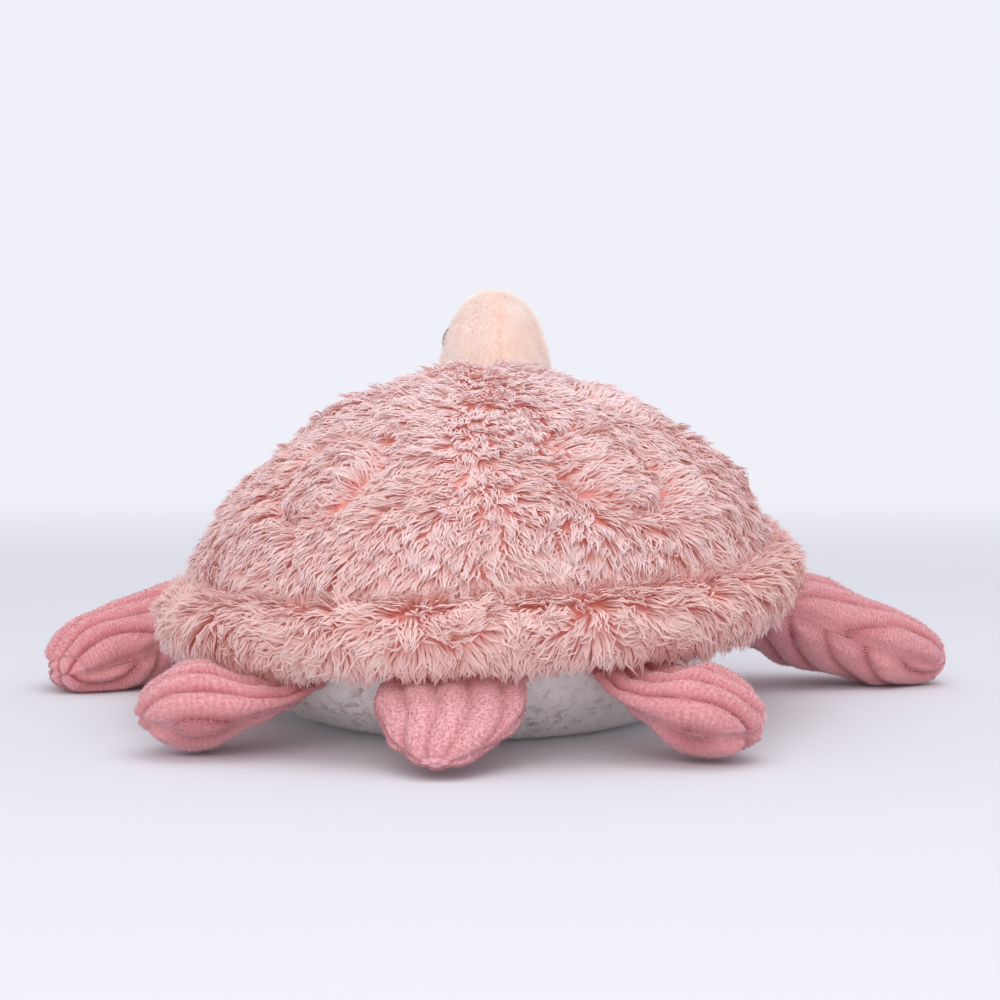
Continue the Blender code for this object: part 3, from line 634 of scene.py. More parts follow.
@dataclass
class Pile:
    """Locks of pile that stand on a cloth: closed, bent and tapered, three-sided."""

    roots: Array
    normals: Array
    flow: Array
    lengths: Array
    widths: Array
    rise: Array
    seed: int
    clump_size: float = 14.0
    clump_pull: float = 0.58
    softness: float = 0.85
    curl: float = 0.18
    tousle: float = 0.0
    stray: float = 0.16
    bow: float = 0.13
    stretches: tuple[float, float] = (0.92, 1.18)
    pulls: tuple[float, float] = (0.55, 1.15)
    most_pull: float = 0.92
    most_stretch: float = 1.2
    own_tone: float = 0.55
    section: Pairs = ((-1.0, -0.2), (1.0, -0.2), (0.0, 0.4))
    map_margin: float = 0.01
    rings: tuple[float, ...] = (0.0, 0.58)
    fullness: tuple[float, ...] = (0.85, 0.80)
    tips: Array = field(init=False)
    tone: Array = field(init=False)
    bends: Array = field(init=False)

    def __post_init__(self) -> None:
        """Places the tips, and draws them together into clumps."""
        draw = np.random.default_rng(self.seed)
        count = len(self.roots)
        self.tone = draw.uniform(0.0, 1.0, count)
        side = np.cross(self.normals, self.flow)
        run = np.sqrt(np.maximum(0.0, 1.0 - self.rise ** 2))
        stray = side * draw.normal(0.0, self.stray, (count, 1))
        reach = unit(self.normals * self.rise[:, None] + self.flow * run[:, None] + stray)
        self.tips = self.roots + reach * self.lengths[:, None]
        self.bends = draw.normal(0.0, self.curl, (count, 1)) * side + self.normals * self.bow
        self._clump(draw)

    def _clump(self, draw: np.random.Generator) -> None:
        """Pulls each tip toward the tip of the clump that its root is nearest to.

        Args:
            draw: The random numbers to go on with.
        """
        count = len(self.roots)
        guides = draw.choice(count, max(1, int(count / self.clump_size)), replace=False)
        tree = kdtree.KDTree(len(guides))
        for number, guide in enumerate(guides):
            tree.insert(self.roots[guide], number)
        tree.balance()
        stretch = draw.uniform(*self.stretches, len(guides))
        clump_tone = draw.uniform(0.0, 1.0, len(guides))
        nearest = np.array([tree.find(root)[1] for root in self.roots])
        own = guides[nearest]
        lean = draw.normal(0.0, self.tousle, (len(guides), 3)) * self.lengths[guides][:, None]
        sunk = np.minimum(0.0, dot(lean, self.normals[guides]))
        lean = lean - self.normals[guides] * sunk
        target = self.tips[own] - self.roots[own] + lean[nearest]
        target = self.roots[own] + target * stretch[nearest][:, None]
        pull = self.clump_pull * draw.uniform(*self.pulls, (count, 1))
        moved = self.tips + (target - self.tips) * np.minimum(pull, self.most_pull)
        away = moved - self.roots
        longest = self.lengths[:, None] * self.most_stretch
        limit = longest / np.maximum(np.linalg.norm(away, axis=1, keepdims=True), 1e-9)
        self.tips = self.roots + away * np.minimum(1.0, limit)
        self.tone = self.own_tone * self.tone + (1.0 - self.own_tone) * clump_tone[nearest]

    def build(self, name: str, chosen: Array | None = None) -> bpy.types.Object:
        """Makes the locks' mesh.

        Args:
            name: The piece's name.
            chosen: A mask of the locks that it holds; all where there is none.

        Returns:
            The piece.
        """
        pick = np.ones(len(self.roots), bool) if chosen is None else chosen
        roots, tips, bends = self.roots[pick], self.tips[pick], self.bends[pick]
        widths, lengths, tone = self.widths[pick], self.lengths[pick], self.tone[pick]
        count, rings = len(roots), len(self.rings)
        chord = unit(tips - roots)
        side = unit(np.cross(chord, self.normals[pick]))
        crest = unit(np.cross(side, chord))
        points = np.zeros((count, rings * 3 + 1, 3))
        share = np.zeros((count, rings * 3 + 1))
        for ring, (along, full) in enumerate(zip(self.rings, self.fullness)):
            arch = 4.0 * along * (1.0 - along)
            middle = roots + (tips - roots) * along + bends * (arch * lengths)[:, None]
            half = (widths * full / 2)[:, None]
            for corner, (across, up) in enumerate(self.section):
                points[:, ring * 3 + corner] = middle + side * (across * half) + crest * (up * half)
            share[:, ring * 3:ring * 3 + 3] = along
        points[:, -1] = tips
        share[:, -1] = 1.0
        first = (np.arange(count) * (rings * 3 + 1))[:, None, None]
        faces = [(first + some).reshape(-1, some.shape[1]) for some in self._faces(rings)]
        tones = np.repeat(tone, rings * 3 + 1)
        flat = share.reshape(-1)
        uv = self.map_margin + (1.0 - 2.0 * self.map_margin) * np.stack([tones, flat], -1)
        piece = add_mesh(name, points.reshape(-1, 3), faces, {"root_to_tip": flat, "lock_tone": tones}, uv)
        self._soften(piece.data, self.normals[pick], rings)
        return piece

    def _soften(self, mesh: bpy.types.Mesh, outward: Array, rings: int) -> None:
        """Turns the shading of the locks' upper faces toward the cloth's outward direction, as light in
        deep pile does, and leaves their undersides as they are.

        Args:
            mesh: The locks' mesh.
            outward: The cloth's outward direction at each lock.
            rings: How many rings a lock has.
        """
        corners = np.zeros(len(mesh.loops), np.int32)
        mesh.loops.foreach_get("vertex_index", corners)
        faces = np.zeros(len(mesh.polygons) * 3, np.float32)
        mesh.polygon_normals.foreach_get("vector", faces)
        totals = np.zeros(len(mesh.polygons), np.int32)
        mesh.polygons.foreach_get("loop_total", totals)
        flat = np.repeat(faces.reshape(-1, 3), totals, axis=0)
        cloth = outward[corners // (rings * 3 + 1)]
        upper = np.clip(dot(flat, cloth) * 1.1 + 0.3, 0.0, 1.0) * self.softness
        shading = unit(flat * (1.0 - upper) + cloth * upper)
        mesh.normals_split_custom_set(shading.tolist())

    @staticmethod
    def _faces(rings: int) -> list[Array]:
        """One lock's four-cornered and three-cornered faces.

        Args:
            rings: How many rings a lock has.

        Returns:
            Each kind's point numbers within the lock.
        """
        tip = rings * 3
        threes = np.vstack([fan(np.arange(tip - 3, tip)[::-1], tip), np.arange(3)])
        return [quads(rings, 3, tube=True)[:, ::-1], threes]


@dataclass
class Spikes(Pile):
    """Short fibres: straight spikes in small clumps."""

    clump_size: float = 7.0
    clump_pull: float = 0.3
    softness: float = 0.9
    rings: tuple[float, ...] = (0.0,)
    fullness: tuple[float, ...] = (1.0,)


def spread(count: int, seed: int) -> tuple[Array, Array]:
    """Evenly spread pairs of numbers from 0 to 1, a little out of order.

    Args:
        count: How many pairs.
        seed: Picks the disorder.

    Returns:
        The first and the second numbers.
    """
    draw = np.random.default_rng(seed)
    number = np.arange(count) + 0.5
    first, second = ((number * step + draw.uniform()) % 1.0 for step in EVEN_STEPS)
    jitter = 0.35 / math.sqrt(count)
    first = (first + draw.normal(0, jitter, count)) % 1.0
    return first, np.clip(second + draw.normal(0, jitter, count), 0.0, 1.0)


def slopes(surface: Surface, first: Array, second: Array) -> tuple[Array, Array, Array]:
    """A surface's points, outward directions and directions of growing second number.

    Args:
        surface: Gives points for two numbers.
        first: The first numbers.
        second: The second numbers.

    Returns:
        Points, normals and the directions in which the second number grows.
    """
    step = 0.002
    points = surface(first, second)
    along = surface(first + step, second) - surface(first - step, second)
    down = surface(first, second + step) - surface(first, second - step)
    normals = unit(np.cross(down, along))
    return points, normals, unit(down)


def turned(vectors: Array, normals: Array, angle: Array) -> Array:
    """Tangent vectors turned about their normals by angles in radians."""
    return vectors * np.cos(angle)[:, None] + np.cross(normals, vectors) * np.sin(angle)[:, None]


def even_falls(surface: Surface, share: Array, low: float, high: float) -> Array:
    """Maps even shares to falls so that the locks' roots lie equally dense over a turned surface.

    Args:
        surface: Gives points for turns and falls.
        share: Even numbers from 0 to 1.
        low: The first fall.
        high: The last fall.

    Returns:
        The falls.
    """
    columns, rows = 48, 160
    falls = np.linspace(low, high, rows)
    points = surface(*grid(round_turns(columns), falls)).reshape(columns, rows, 3)
    ring = np.linalg.norm(np.roll(points, -1, 0) - points, axis=-1).sum(0)
    drop = np.linalg.norm(np.diff(points, axis=1), axis=-1).mean(0)
    area = np.concatenate([[0.0], np.cumsum((ring[1:] + ring[:-1]) / 2 * drop)])
    return np.interp(share, area / area[-1], falls)


@dataclass(frozen=True)
class LongPile:
    """The shell's finish: long dusty pink pile with coral at its roots."""

    warmth: float = 0.0

    def make(self, name: str) -> bpy.types.Material:
        """Makes the locks' material.

        Args:
            name: The material's name.

        Returns:
            The material.
        """
        shader = Shader(name, 0.9, 0.4)
        tip = shader.reading("root_to_tip")
        tone = shader.reading("lock_tone")
        shade = shader.ramp(tip, (0.0, srgb(214, 140, 130)), (0.3, srgb(222, 181, 176)),
                            (0.6, srgb(227, 205, 203)), (1.0, srgb(232, 221, 222)))
        warm = shader.mix(self.warmth, shade, srgb(255, 226, 210), "MULTIPLY")
        swell = shader.noise(38.0, 2.0)
        dusk = shader.span(swell, 0.3, 0.72, 0.0, 0.22)
        tinted = shader.mix(dusk, warm, srgb(232, 200, 195))
        # painted highlight: the pile is paled with height toward the top of the crown, for the light that
        # falls on it from above
        tinted = shader.mix(shader.span(shader.height(), 0.09, 0.15, 0.0, 0.6), tinted, srgb(246, 238, 240))
        # painted glow: a coral emission, deepest at the roots, stands in for the light scattered deep in the
        # pile
        deep = shader.ramp(tip, (0.0, srgb(236, 122, 108)), (0.5, srgb(228, 136, 124)),
                           (1.0, srgb(220, 152, 144)))
        shader.scatter(deep, 0.115)
        dark = shader.mix(tone, srgb(236, 222, 219), WHITE)
        colour = shader.mix(1.0, tinted, dark, "MULTIPLY")
        return shader.paint(colour)


@dataclass(frozen=True)
class PileGround:
    """The cloth that the long pile stands on: coral, matt and uneven."""

    def make(self, name: str) -> bpy.types.Material:
        """Makes the ground cloth's material.

        Args:
            name: The material's name.

        Returns:
            The material.
        """
        shader = Shader(name, 0.95, 0.1)
        swell = shader.noise(160.0, 4.0)
        colour = shader.ramp(swell, (0.25, srgb(216, 132, 120)), (0.75, srgb(236, 164, 152)))
        # painted glow: a coral emission stands in for the light scattered down into the pile
        shader.scatter(srgb(232, 124, 112), 0.10)
        return shader.paint(colour, None, shader.noise(700.0, 3.0), 0.0012)


@dataclass
class Shell:
    """The quilted shell: a ground cloth puffed up between its stitched rings, and the locks on it."""

    ring_places: Pairs = (
        (0.47, -0.62), (0.50, -0.10), (0.47, 0.42), (0.84, -0.04),
        (-0.47, -0.62), (-0.50, -0.10), (-0.47, 0.42), (-0.84, -0.04))
    ring_radius: float = 0.0240
    groove_width: float = 0.0040
    groove_depth: float = 0.0036
    puff: float = 0.0020
    pile_depth: float = 0.0032
    slump: float = 0.0030
    slump_lean: float = 0.0008
    slump_foot: float = 0.58
    unevenness: float = 0.0005
    top_fall: float = 0.004
    deepest: float = 0.0080
    lock_count: int = 56000
    lock_length: float = 0.0098
    lock_width: float = 0.0011
    groove_cut: float = 0.48
    crown_cut: float = 0.15
    rise: float = 0.22
    seed: int = 11

    def ring_middles(self) -> Array:
        """The stitched rings' middles on the dome.

        Returns:
            One point for each ring.
        """
        side, ahead = np.array(self.ring_places).T
        share = np.hypot(side, ahead)
        return BODY.dome(np.arctan2(ahead, side), np.arcsin(share ** (BODY.roundness / 2)) / (math.pi / 2))

    def quilt(self, points: Array) -> tuple[Array, Array]:
        """How deep in a stitched groove points lie, and how far up on a puff.

        Args:
            points: Points on the dome.

        Returns:
            The groove's share, and the puff's share.
        """
        gap = np.linalg.norm(points[:, None] - self.ring_middles()[None], axis=-1)
        groove = np.exp(-((gap - self.ring_radius) / self.groove_width) ** 2).max(1)
        seam = np.exp(-(points[:, 0] / self.groove_width) ** 2)
        inside = np.maximum(0.0, 1.0 - (gap / self.ring_radius) ** 2).max(1)
        between = np.clip(np.abs(gap - self.ring_radius).min(1) / 0.02, 0.0, 1.0)
        return np.maximum(groove, 0.35 * seam), np.maximum(inside, 0.7 * smooth(between))

    def parting(self, points: Array) -> Array:
        """Which way the pile leans at the stitched rings: away from the thread on either side.

        Args:
            points: Points on the dome.

        Returns:
            The lean at each point, as a vector.
        """
        away = points[:, None] - self.ring_middles()[None]
        gap = np.linalg.norm(away, axis=-1)
        lean = (gap - self.ring_radius) / (2.2 * self.groove_width)
        lean = lean * np.exp(0.5 - 0.5 * (lean * 2.2) ** 2) * 3.0
        return np.sum(away / np.maximum(gap, 1e-6)[..., None] * lean[..., None], 1)

    def ground(self, turn: Array, fall: Array) -> Array:
        """The ground cloth's places under the dome's outer face.

        Args:
            turn: Angles from the right side toward the head, in radians.
            fall: Shares of the way down the dome.

        Returns:
            The points.
        """
        outer, normals, _ = slopes(BODY.dome, turn, np.clip(fall, self.top_fall, 1.0))
        groove, puff = self.quilt(outer)
        rough = self.unevenness * waves(outer, 0.009, self.seed)
        slump = self.slump - self.slump_lean * np.tanh(outer[:, 0] / 0.03)
        slump *= (0.5 + 0.5 * smooth(fall / 0.2)) * (1.0 - smooth((fall - self.slump_foot) / 0.27))
        depth = self.pile_depth + slump + self.groove_depth * groove - self.puff * puff + rough
        return outer - normals * np.minimum(depth, self.deepest)[:, None]

    def make_ground(self) -> bpy.types.Object:
        """The ground cloth, a closed sheet.

        Returns:
            The piece.
        """
        turns, rows = 168, 56
        points = self.ground(*grid(round_turns(turns), np.linspace(self.top_fall, 1.0, rows)))
        crown = self.ground(np.array([0.0]), np.array([self.top_fall]))
        crown[0, :2] = 0.0
        faces = [quads(turns, rows, ring=True), fan(np.arange(turns) * rows, len(points))]
        piece = add_mesh("shell_ground_cloth", np.vstack([points, crown]), faces)
        give_thickness(piece)
        return piece

    def make_locks(self) -> list[bpy.types.Object]:
        """The locks, in four pieces.

        Returns:
            The pieces.
        """
        across, down = spread(self.lock_count, self.seed)
        turn = across * math.tau
        fall = even_falls(BODY.dome, down, 0.02, 1.0)
        outer, _, _ = slopes(BODY.dome, turn, fall)
        roots, normals, flow = slopes(self.ground, turn, fall)
        groove, _ = self.quilt(outer)
        side = np.tanh(outer[:, 0] / 0.012)[:, None] * np.array([1.0, 0.0, 0.0])
        parting = 0.2 + 1.3 * smooth((normals[:, 2] - 0.55) / 0.4)
        flow = laid(unit(flow + side * parting[:, None] + self.parting(outer)), normals)
        swirl = 0.55 * waves(outer, 0.075, 3) + 0.42 * waves(outer, 0.026, 4)
        flow = turned(flow, normals, swirl)
        draw = np.random.default_rng(self.seed + 1)
        lengths = self.lock_length * draw.uniform(0.78, 1.2, len(turn)) * (1.0 - self.groove_cut * groove)
        lengths *= 1.0 - self.crown_cut * (1.0 - smooth((fall - 0.5) / 0.25))
        widths = self.lock_width * draw.uniform(0.7, 1.15, len(turn))
        rise = self.rise + 0.08 * waves(outer, 0.012, 5) + draw.normal(0, 0.05, len(turn)) - 0.08 * groove
        pile = Pile(roots, normals, flow, lengths, widths, np.clip(rise, 0.08, 0.6), self.seed + 2,
                    tousle=TOUSLE)
        right, rear = roots[:, 0] >= 0, roots[:, 1] < 0
        parts = {"rear_right": rear & right, "rear_left": rear & ~right,
                 "front_right": ~rear & right, "front_left": ~rear & ~right}
        return [pile.build(f"shell_pile_{name}", chosen) for name, chosen in parts.items()]

    def build(self) -> None:
        """Builds the shell in place of the frame's cover."""
        ground = self.make_ground()
        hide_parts("shell_cover")
        place(ground, PileGround().make("shell_ground"), "body", "shell_fur", 0.5)
        finish = LongPile().make("shell_pile")
        for piece in self.make_locks():
            place(piece, finish, "body", "shell_fur")


@dataclass
class Rim:
    """The rolled rim: a thick roll of ground cloth with longer, looser locks."""

    pile_depth: float = 0.0038
    lock_count: int = 27000
    lock_length: float = 0.0100
    lock_width: float = 0.0014
    first_angle: float = 140.0
    covered: float = 0.80
    rise: float = 0.38
    seed: int = 23

    def roll(self, turn: Array, share: Array) -> Array:
        """The ground cloth's places; share runs once round the roll, down its outside."""
        angle = math.radians(self.first_angle) - math.tau * np.asarray(share)
        return BODY.rim(turn, angle, BODY.rim_radius - self.pile_depth)

    def make_ground(self) -> bpy.types.Object:
        """The roll of ground cloth, closed on itself.

        Returns:
            The piece.
        """
        turns, sides = 160, 20
        points = self.roll(*grid(round_turns(turns), np.arange(sides) / sides))
        return add_mesh("rim_ground_cloth", points, [quads(turns, sides, ring=True, tube=True)])

    def make_locks(self) -> list[bpy.types.Object]:
        """The locks, in two pieces.

        Returns:
            The pieces.
        """
        across, down = spread(self.lock_count, self.seed)
        turn = across * math.tau
        share = down * self.covered
        roots, normals, flow = slopes(self.roll, turn, share)
        low = smooth((share - 0.38) / 0.2)[:, None]
        hang = unit(np.array([[0.0, 0.0, -1.0]]) + normals * 0.25)
        swirl = waves(roots, 0.060, 7) + 0.75 * waves(roots, 0.022, 8)
        flow = turned(flow, normals, swirl * (1.0 - 0.55 * low[:, 0]))
        flow = unit(flow * (1.0 - 0.75 * low) + hang * 0.75 * low)
        draw = np.random.default_rng(self.seed + 1)
        lengths = self.lock_length * draw.uniform(0.75, 1.2, len(turn))
        widths = self.lock_width * draw.uniform(0.7, 1.15, len(turn))
        rise = self.rise + 0.18 * waves(roots, 0.011, 9) + draw.normal(0, 0.06, len(turn)) - 0.08 * low[:, 0]
        pile = Pile(roots, normals, flow, lengths, widths, np.clip(rise, 0.12, 0.8), self.seed + 2,
                    clump_pull=0.6, curl=0.22, tousle=TOUSLE)
        right = roots[:, 0] >= 0
        return [pile.build("rim_pile_right", right), pile.build("rim_pile_left", ~right)]

    def build(self) -> None:
        """Builds the rim in place of the frame's sleeve."""
        ground = self.make_ground()
        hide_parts("shell_rim_cover")
        place(ground, PileGround().make("rim_ground"), "body", "shell_fur", 0.8)
        finish = LongPile(0.3).make("rim_pile")
        for piece in self.make_locks():
            place(piece, finish, "body", "shell_fur")


def give_thickness(piece: bpy.types.Object, thickness: float = CLOTH_THICKNESS) -> None:
    """Turns an open sheet into cloth with a thickness, inward.

    Args:
        piece: The sheet.
        thickness: How thick it becomes, in metres.
    """
    solid = piece.modifiers.new("Cloth", "SOLIDIFY")
    solid.thickness = thickness
    solid.offset = -1.0
    graph = bpy.context.evaluated_depsgraph_get()
    mesh = bpy.data.meshes.new_from_object(piece.evaluated_get(graph), preserve_all_data_layers=True,
                                           depsgraph=graph)
    piece.modifiers.clear()
    piece.data = mesh


def place(piece: bpy.types.Object, finish: bpy.types.Material, body: str, slot: str,
          fill: float | None = None) -> None:
    """Dresses a piece, rides it on a body and reports it.

    Args:
        piece: The piece.
        finish: Its material.
        body: The moving body that it goes with.
        slot: The finish's name; not used.
        fill: How full of stuffing it is, 0 to 1, where it is the cloth of a stuffed piece; not used.
    """
    piece.data.materials.append(finish)
    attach(piece, body)
    LOG.info("%s on %s: %d faces", piece.name, body, len(piece.data.polygons))


@dataclass(frozen=True)
class RibbedCloth:
    """The flippers' and tail's finish: salmon rib cloth with fine nub rows, with painted shade darkening its
    valleys.
    """

    lift: float = 0.0

    def make(self, name: str) -> bpy.types.Material:
        """Makes the rib cloth's material.

        Args:
            name: The material's name.

        Returns:
            The material.
        """
        shader = Shader(name, 0.9, 0.8)
        ridge = shader.reading("ridge")
        rows = (shader.reading("rib_along") * (math.tau / 1.9) + shader.noise(170.0, 3.0) * 15.0).sine()
        beads = (shader.reading("rib_across") * (math.tau / 1.5) + shader.noise(190.0, 2.0) * 9.0).sine()
        strength = shader.span(shader.noise(70.0, 2.0), 0.35, 0.65, 0.25, 1.0)
        nub = 0.5 + strength * (0.28 * rows + 0.2 * (rows * beads))
        # painted shade: the ramp darkens the cloth toward the bottoms of the rib valleys, where the ribs
        # shade them
        shade = shader.ramp(ridge, (0.0, srgb(144, 66, 72)), (0.22, srgb(196, 112, 119)),
                            (0.6, srgb(220, 148, 154)), (1.0, srgb(228, 164, 168)))
        rowed = shader.mix(shader.span(nub, 0.1, 0.9), srgb(236, 216, 216), WHITE)
        patch = shader.span(shader.noise(55.0, 4.0), 0.35, 0.7, 0.0, 0.35)
        tinted = shader.mix(patch, shade, srgb(238, 180, 178))
        pale = shader.mix(self.lift, tinted, srgb(246, 200, 206))
        colour = shader.mix(1.0, pale, rowed, "MULTIPLY")
        height = nub * 0.6 + shader.noise(1500.0, 2.0) * 0.4
        return shader.paint(colour, None, height, 0.00035)


@dataclass(frozen=True)
class Fuzz:
    """Short fibres that stand on a cloth, a little lighter at their tips."""

    root: Colour
    tip: Colour
    dark: Colour = srgb(232, 224, 224)
    # inner is the strength of a painted glow: an emission in the root colour
    inner: float = 0.0
    blush: Colour | None = None
    blush_spot: tuple[float, float, float] = (0.0, 0.0, 0.0)

    def make(self, name: str) -> bpy.types.Material:
        """Makes the fibres' material, with a blush round one spot where it has one.

        Args:
            name: The material's name.

        Returns:
            The material.
        """
        shader = Shader(name, 0.9, 0.7)
        shade = shader.ramp(shader.reading("root_to_tip"), (0.0, self.root), (1.0, self.tip))
        if self.blush is not None:
            gap = shader.wire("ShaderNodeVectorMath", "Value", {"operation": "DISTANCE"},
                              {0: shader.place(), 1: self.blush_spot})
            shade = shader.mix(shader.span(gap, 0.006, 0.032, 0.6, 0.0), shade, self.blush)
        tone = shader.mix(shader.reading("lock_tone"), self.dark, WHITE)
        # painted glow: an emission in the root colour stands in for the light scattered in the fibres
        shader.scatter(self.root, self.inner)
        return shader.paint(shader.mix(1.0, shade, tone, "MULTIPLY"))


class RibRun(Enum):
    """How the ribs run on a limb's panels: degrees from its length, on its upper and its lower panel."""

    ALONG = (0.0, 0.0)
    SLANTED = (22.0, 38.0)


def seam_roll(form: LimbForm) -> bpy.types.Object:
    """A limb's rolled seam allowance, bent along the belly's side.

    Args:
        form: The limb's form.

    Returns:
        The piece.
    """
    half = form.width * form.width_shares[0][1] / 2
    steps, sides, radius, plan_radius = 26, 12, 0.0028, 0.11
    along = np.linspace(-half, half, steps)
    sag = 0.5 * along ** 2 / plan_radius
    middle = form.root()
    inward = unit(np.array([-middle[0], -middle[1], 0.0]))
    centre = middle + form.hinge() * along[:, None] + inward * sag[:, None]
    turn = round_turns(sides)[:, None]
    section = (inward * np.cos(turn) + np.array([0.0, 0.0, 1.0]) * np.sin(turn)) * radius
    full = np.sqrt(np.maximum(0.05, 1.0 - np.abs(along / half) ** 8))
    points = (centre[:, None] + section * full[:, None, None]).reshape(-1, 3)
    ends = np.array([np.arange(sides)[::-1], np.arange(sides) + (steps - 1) * sides])
    readings = {"ridge": np.full(len(points), 0.45), "rib_along": np.repeat(along, sides) / MM,
                "rib_across": np.zeros(len(points))}
    return add_mesh(f"{form.name}_seam_roll", points, [quads(steps, sides, tube=True), ends], readings)


@dataclass
class RibbedLimb:
    """A flipper or the tail: an upper and a lower panel of rib cloth that meet in an edge seam."""

    form: LimbForm
    run: RibRun
    rear_edge: float
    seed: int
    pitch: float = 0.0116
    depth: float = 0.0026
    valley: float = 0.17
    pinch: float = 0.0012
    roll: float = 0.0
    scallop: float = 0.5
    rows: int = 84
    columns: int = 56
    fibres: int = 13000
    run_off: float = 1.0
    lift: float = 0.0
    bow: float = 0.0016
    press_width: float = 0.0009
    unevenness: float = 0.0005

    def ribs(self, share: Array, angle: Array) -> tuple[Array, Array, Array]:
        """Where a point lies on the cloth.

        Args:
            share: Shares of the length.
            angle: Angles round the section.

        Returns:
            The rib's phase, the distance along the ribs and the distance to the edge seam, in metres.
        """
        form = self.form
        left = 1.0 - self.run_off * (1.0 - form.closing(share))
        half = form.width / 2 * (0.4 + 0.6 * blend(form.width_shares, share)) * left
        rolled = np.asarray(angle) - math.radians(self.roll)
        from_rear = form.width / 2 - half * self.rear_edge * np.cos(rolled)
        along = form.length * np.asarray(share)
        slant = np.radians(np.where(np.sin(rolled) >= 0.0, self.run.value[0], self.run.value[1]))
        bow = self.bow * np.sin(along / form.length * math.tau * 1.1 + self.seed)
        across = from_rear * np.cos(slant) - along * np.sin(slant) + bow
        lengthwise = from_rear * np.sin(slant) + along * np.cos(slant)
        edge = (1.0 - np.abs(np.cos(rolled))) * form.width / 2
        return across / self.pitch, lengthwise, edge

    def ridge(self, phase: Array) -> Array:
        """The rib's profile: flat and soft on top, with a narrow sharp valley on either side."""
        gap = np.abs((phase + 0.5) % 1.0 - 0.5)
        return 0.62 * (1.0 - np.exp(-(gap / self.valley) ** 1.3)) + 0.38 * np.sin(math.pi * gap)

    def skin(self, share: Array, angle: Array) -> Array:
        """The ribbed cloth's places.

        Args:
            share: Shares of the length.
            angle: Angles round the section.

        Returns:
            The points.
        """
        flat, _ = self.form.skin(share, angle)
        phase, _, edge = self.ribs(share, angle)
        fade = 0.35 + 0.65 * smooth(np.asarray(share) / 0.15)
        fade = fade + self.scallop * smooth((np.asarray(share) - 0.7) / 0.25)
        press = np.exp(-(edge / self.press_width) ** 2)
        swell = -self.depth * ((1.0 - self.ridge(phase)) * (1.0 - press) + 0.5 * press) * fade
        swell = swell - self.pinch * press * fade
        uneven = waves(flat.reshape(-1, 3), 0.03, self.seed).reshape(np.shape(share))
        swell = swell + self.unevenness * uneven
        tip = smooth((np.asarray(share) - 0.93) / 0.07)
        points, _ = self.form.skin(share, angle, swell * (1.0 - 0.7 * tip))
        return points

    def panel(self, half: int) -> bpy.types.Object:
        """The upper (1) or lower (-1) panel, closed along its edges and inside.

        Args:
            half: 1 for the upper and -1 for the lower panel.

        Returns:
            The piece.
        """
        tip, tip_rows = 0.9, 16
        closer = np.sin(np.linspace(0.0, math.pi / 2, tip_rows + 1)[1:])
        shares = np.append(np.linspace(0.0, tip, self.rows - tip_rows), tip + (1.0 - tip) * closer)
        angles = half * np.linspace(0.0, math.pi, self.columns + 1) + math.radians(self.roll)
        share, angle = grid(shares, angles)
        phase, lengthwise, _ = self.ribs(share, angle)
        faces = [quads(len(shares), len(angles))[:, ::half]]
        readings = {"ridge": self.ridge(phase), "rib_along": lengthwise / MM,
                    "rib_across": phase * self.pitch / MM}
        word = "upper" if half > 0 else "lower"
        piece = add_mesh(f"{self.form.name}_{word}_cloth", self.skin(share, angle), faces, readings)
        give_thickness(piece)
        return piece

    def fuzz(self) -> bpy.types.Object:
        """Short fibres all over the limb.

        Returns:
            The piece.
        """
        across, down = spread(self.fibres, self.seed)
        angle, share = across * math.tau, np.clip(down, 0.01, 0.97)
        points, normals, flow = slopes(lambda first, second: self.skin(second, first), angle, share)
        normals = facing(normals, self.form.skin(share, angle)[1])
        draw = np.random.default_rng(self.seed)
        count = len(points)
        flow = turned(flow, normals, draw.normal(0, 0.7, count))
        lengths, widths = draw.uniform(0.0009, 0.0017, count), draw.uniform(0.0003, 0.0006, count)
        pile = Spikes(points, normals, flow, lengths, widths, draw.uniform(0.3, 0.75, count), self.seed,
                      clump_size=5.0, clump_pull=0.2, softness=0.95)
        return pile.build(f"{self.form.name}_fuzz")

    def build(self) -> None:
        """Builds the limb in place of the frame's panels."""
        name = self.form.name
        cloth = RibbedCloth(self.lift).make(f"{name}_rib_cloth")
        for half, word in ((1, "upper"), (-1, "lower")):
            piece = self.panel(half)
            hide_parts(f"{name}_{word}_panel")
            place(piece, cloth, name, "ribbed_cloth", 0.75)
        finish = Fuzz(srgb(210, 134, 140), srgb(236, 180, 186), inner=0.04)
        place(self.fuzz(), finish.make(f"{name}_fuzz"), name, "ribbed_cloth")
        roll = seam_roll(self.form)
        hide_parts(f"{name}_seam")
        place(roll, cloth, "body", "ribbed_cloth")


def square_heading(turn: float) -> float:
    """The heading in degrees that leaves the oval seam line at a right angle.

    Args:
        turn: Where on the seam line, in degrees.

    Returns:
        The heading.
    """
    angle = math.radians(turn)
    across, ahead = math.cos(angle) / BODY.half_width, math.sin(angle) / BODY.half_length
    return math.degrees(math.atan2(ahead, across))


def flipper_form(name: str, turn: float, last: float, pitches: Pairs) -> LimbForm:
    """A flipper's form.

    Args:
        name: The flipper's name, which starts with front or rear.
        turn: Where it leaves the body, in degrees.
        last: The heading of its tip, in degrees.
        pitches: How it rises and falls along its length.

    Returns:
        The form.
    """
    headings = ((0.0, square_heading(turn)), (1.0, last))
    sizes = FRONT_SIZES if name.startswith("front") else REAR_SIZES
    return LimbForm(name, headings, pitches, *sizes)


def neck_form() -> LimbForm:
    """The neck's form.

    Returns:
        The form.
    """
    pitches = ((0.0, -42.0), (0.3, 0.0), (0.62, 90.0), (1.0, 90.0))
    return LimbForm("neck", ((0.0, 90.0), (0.5, 99.0)), pitches, 0.114, 0.050, 0.042,
                    NECK_WIDTHS, NECK_THICKNESSES, 1.0)


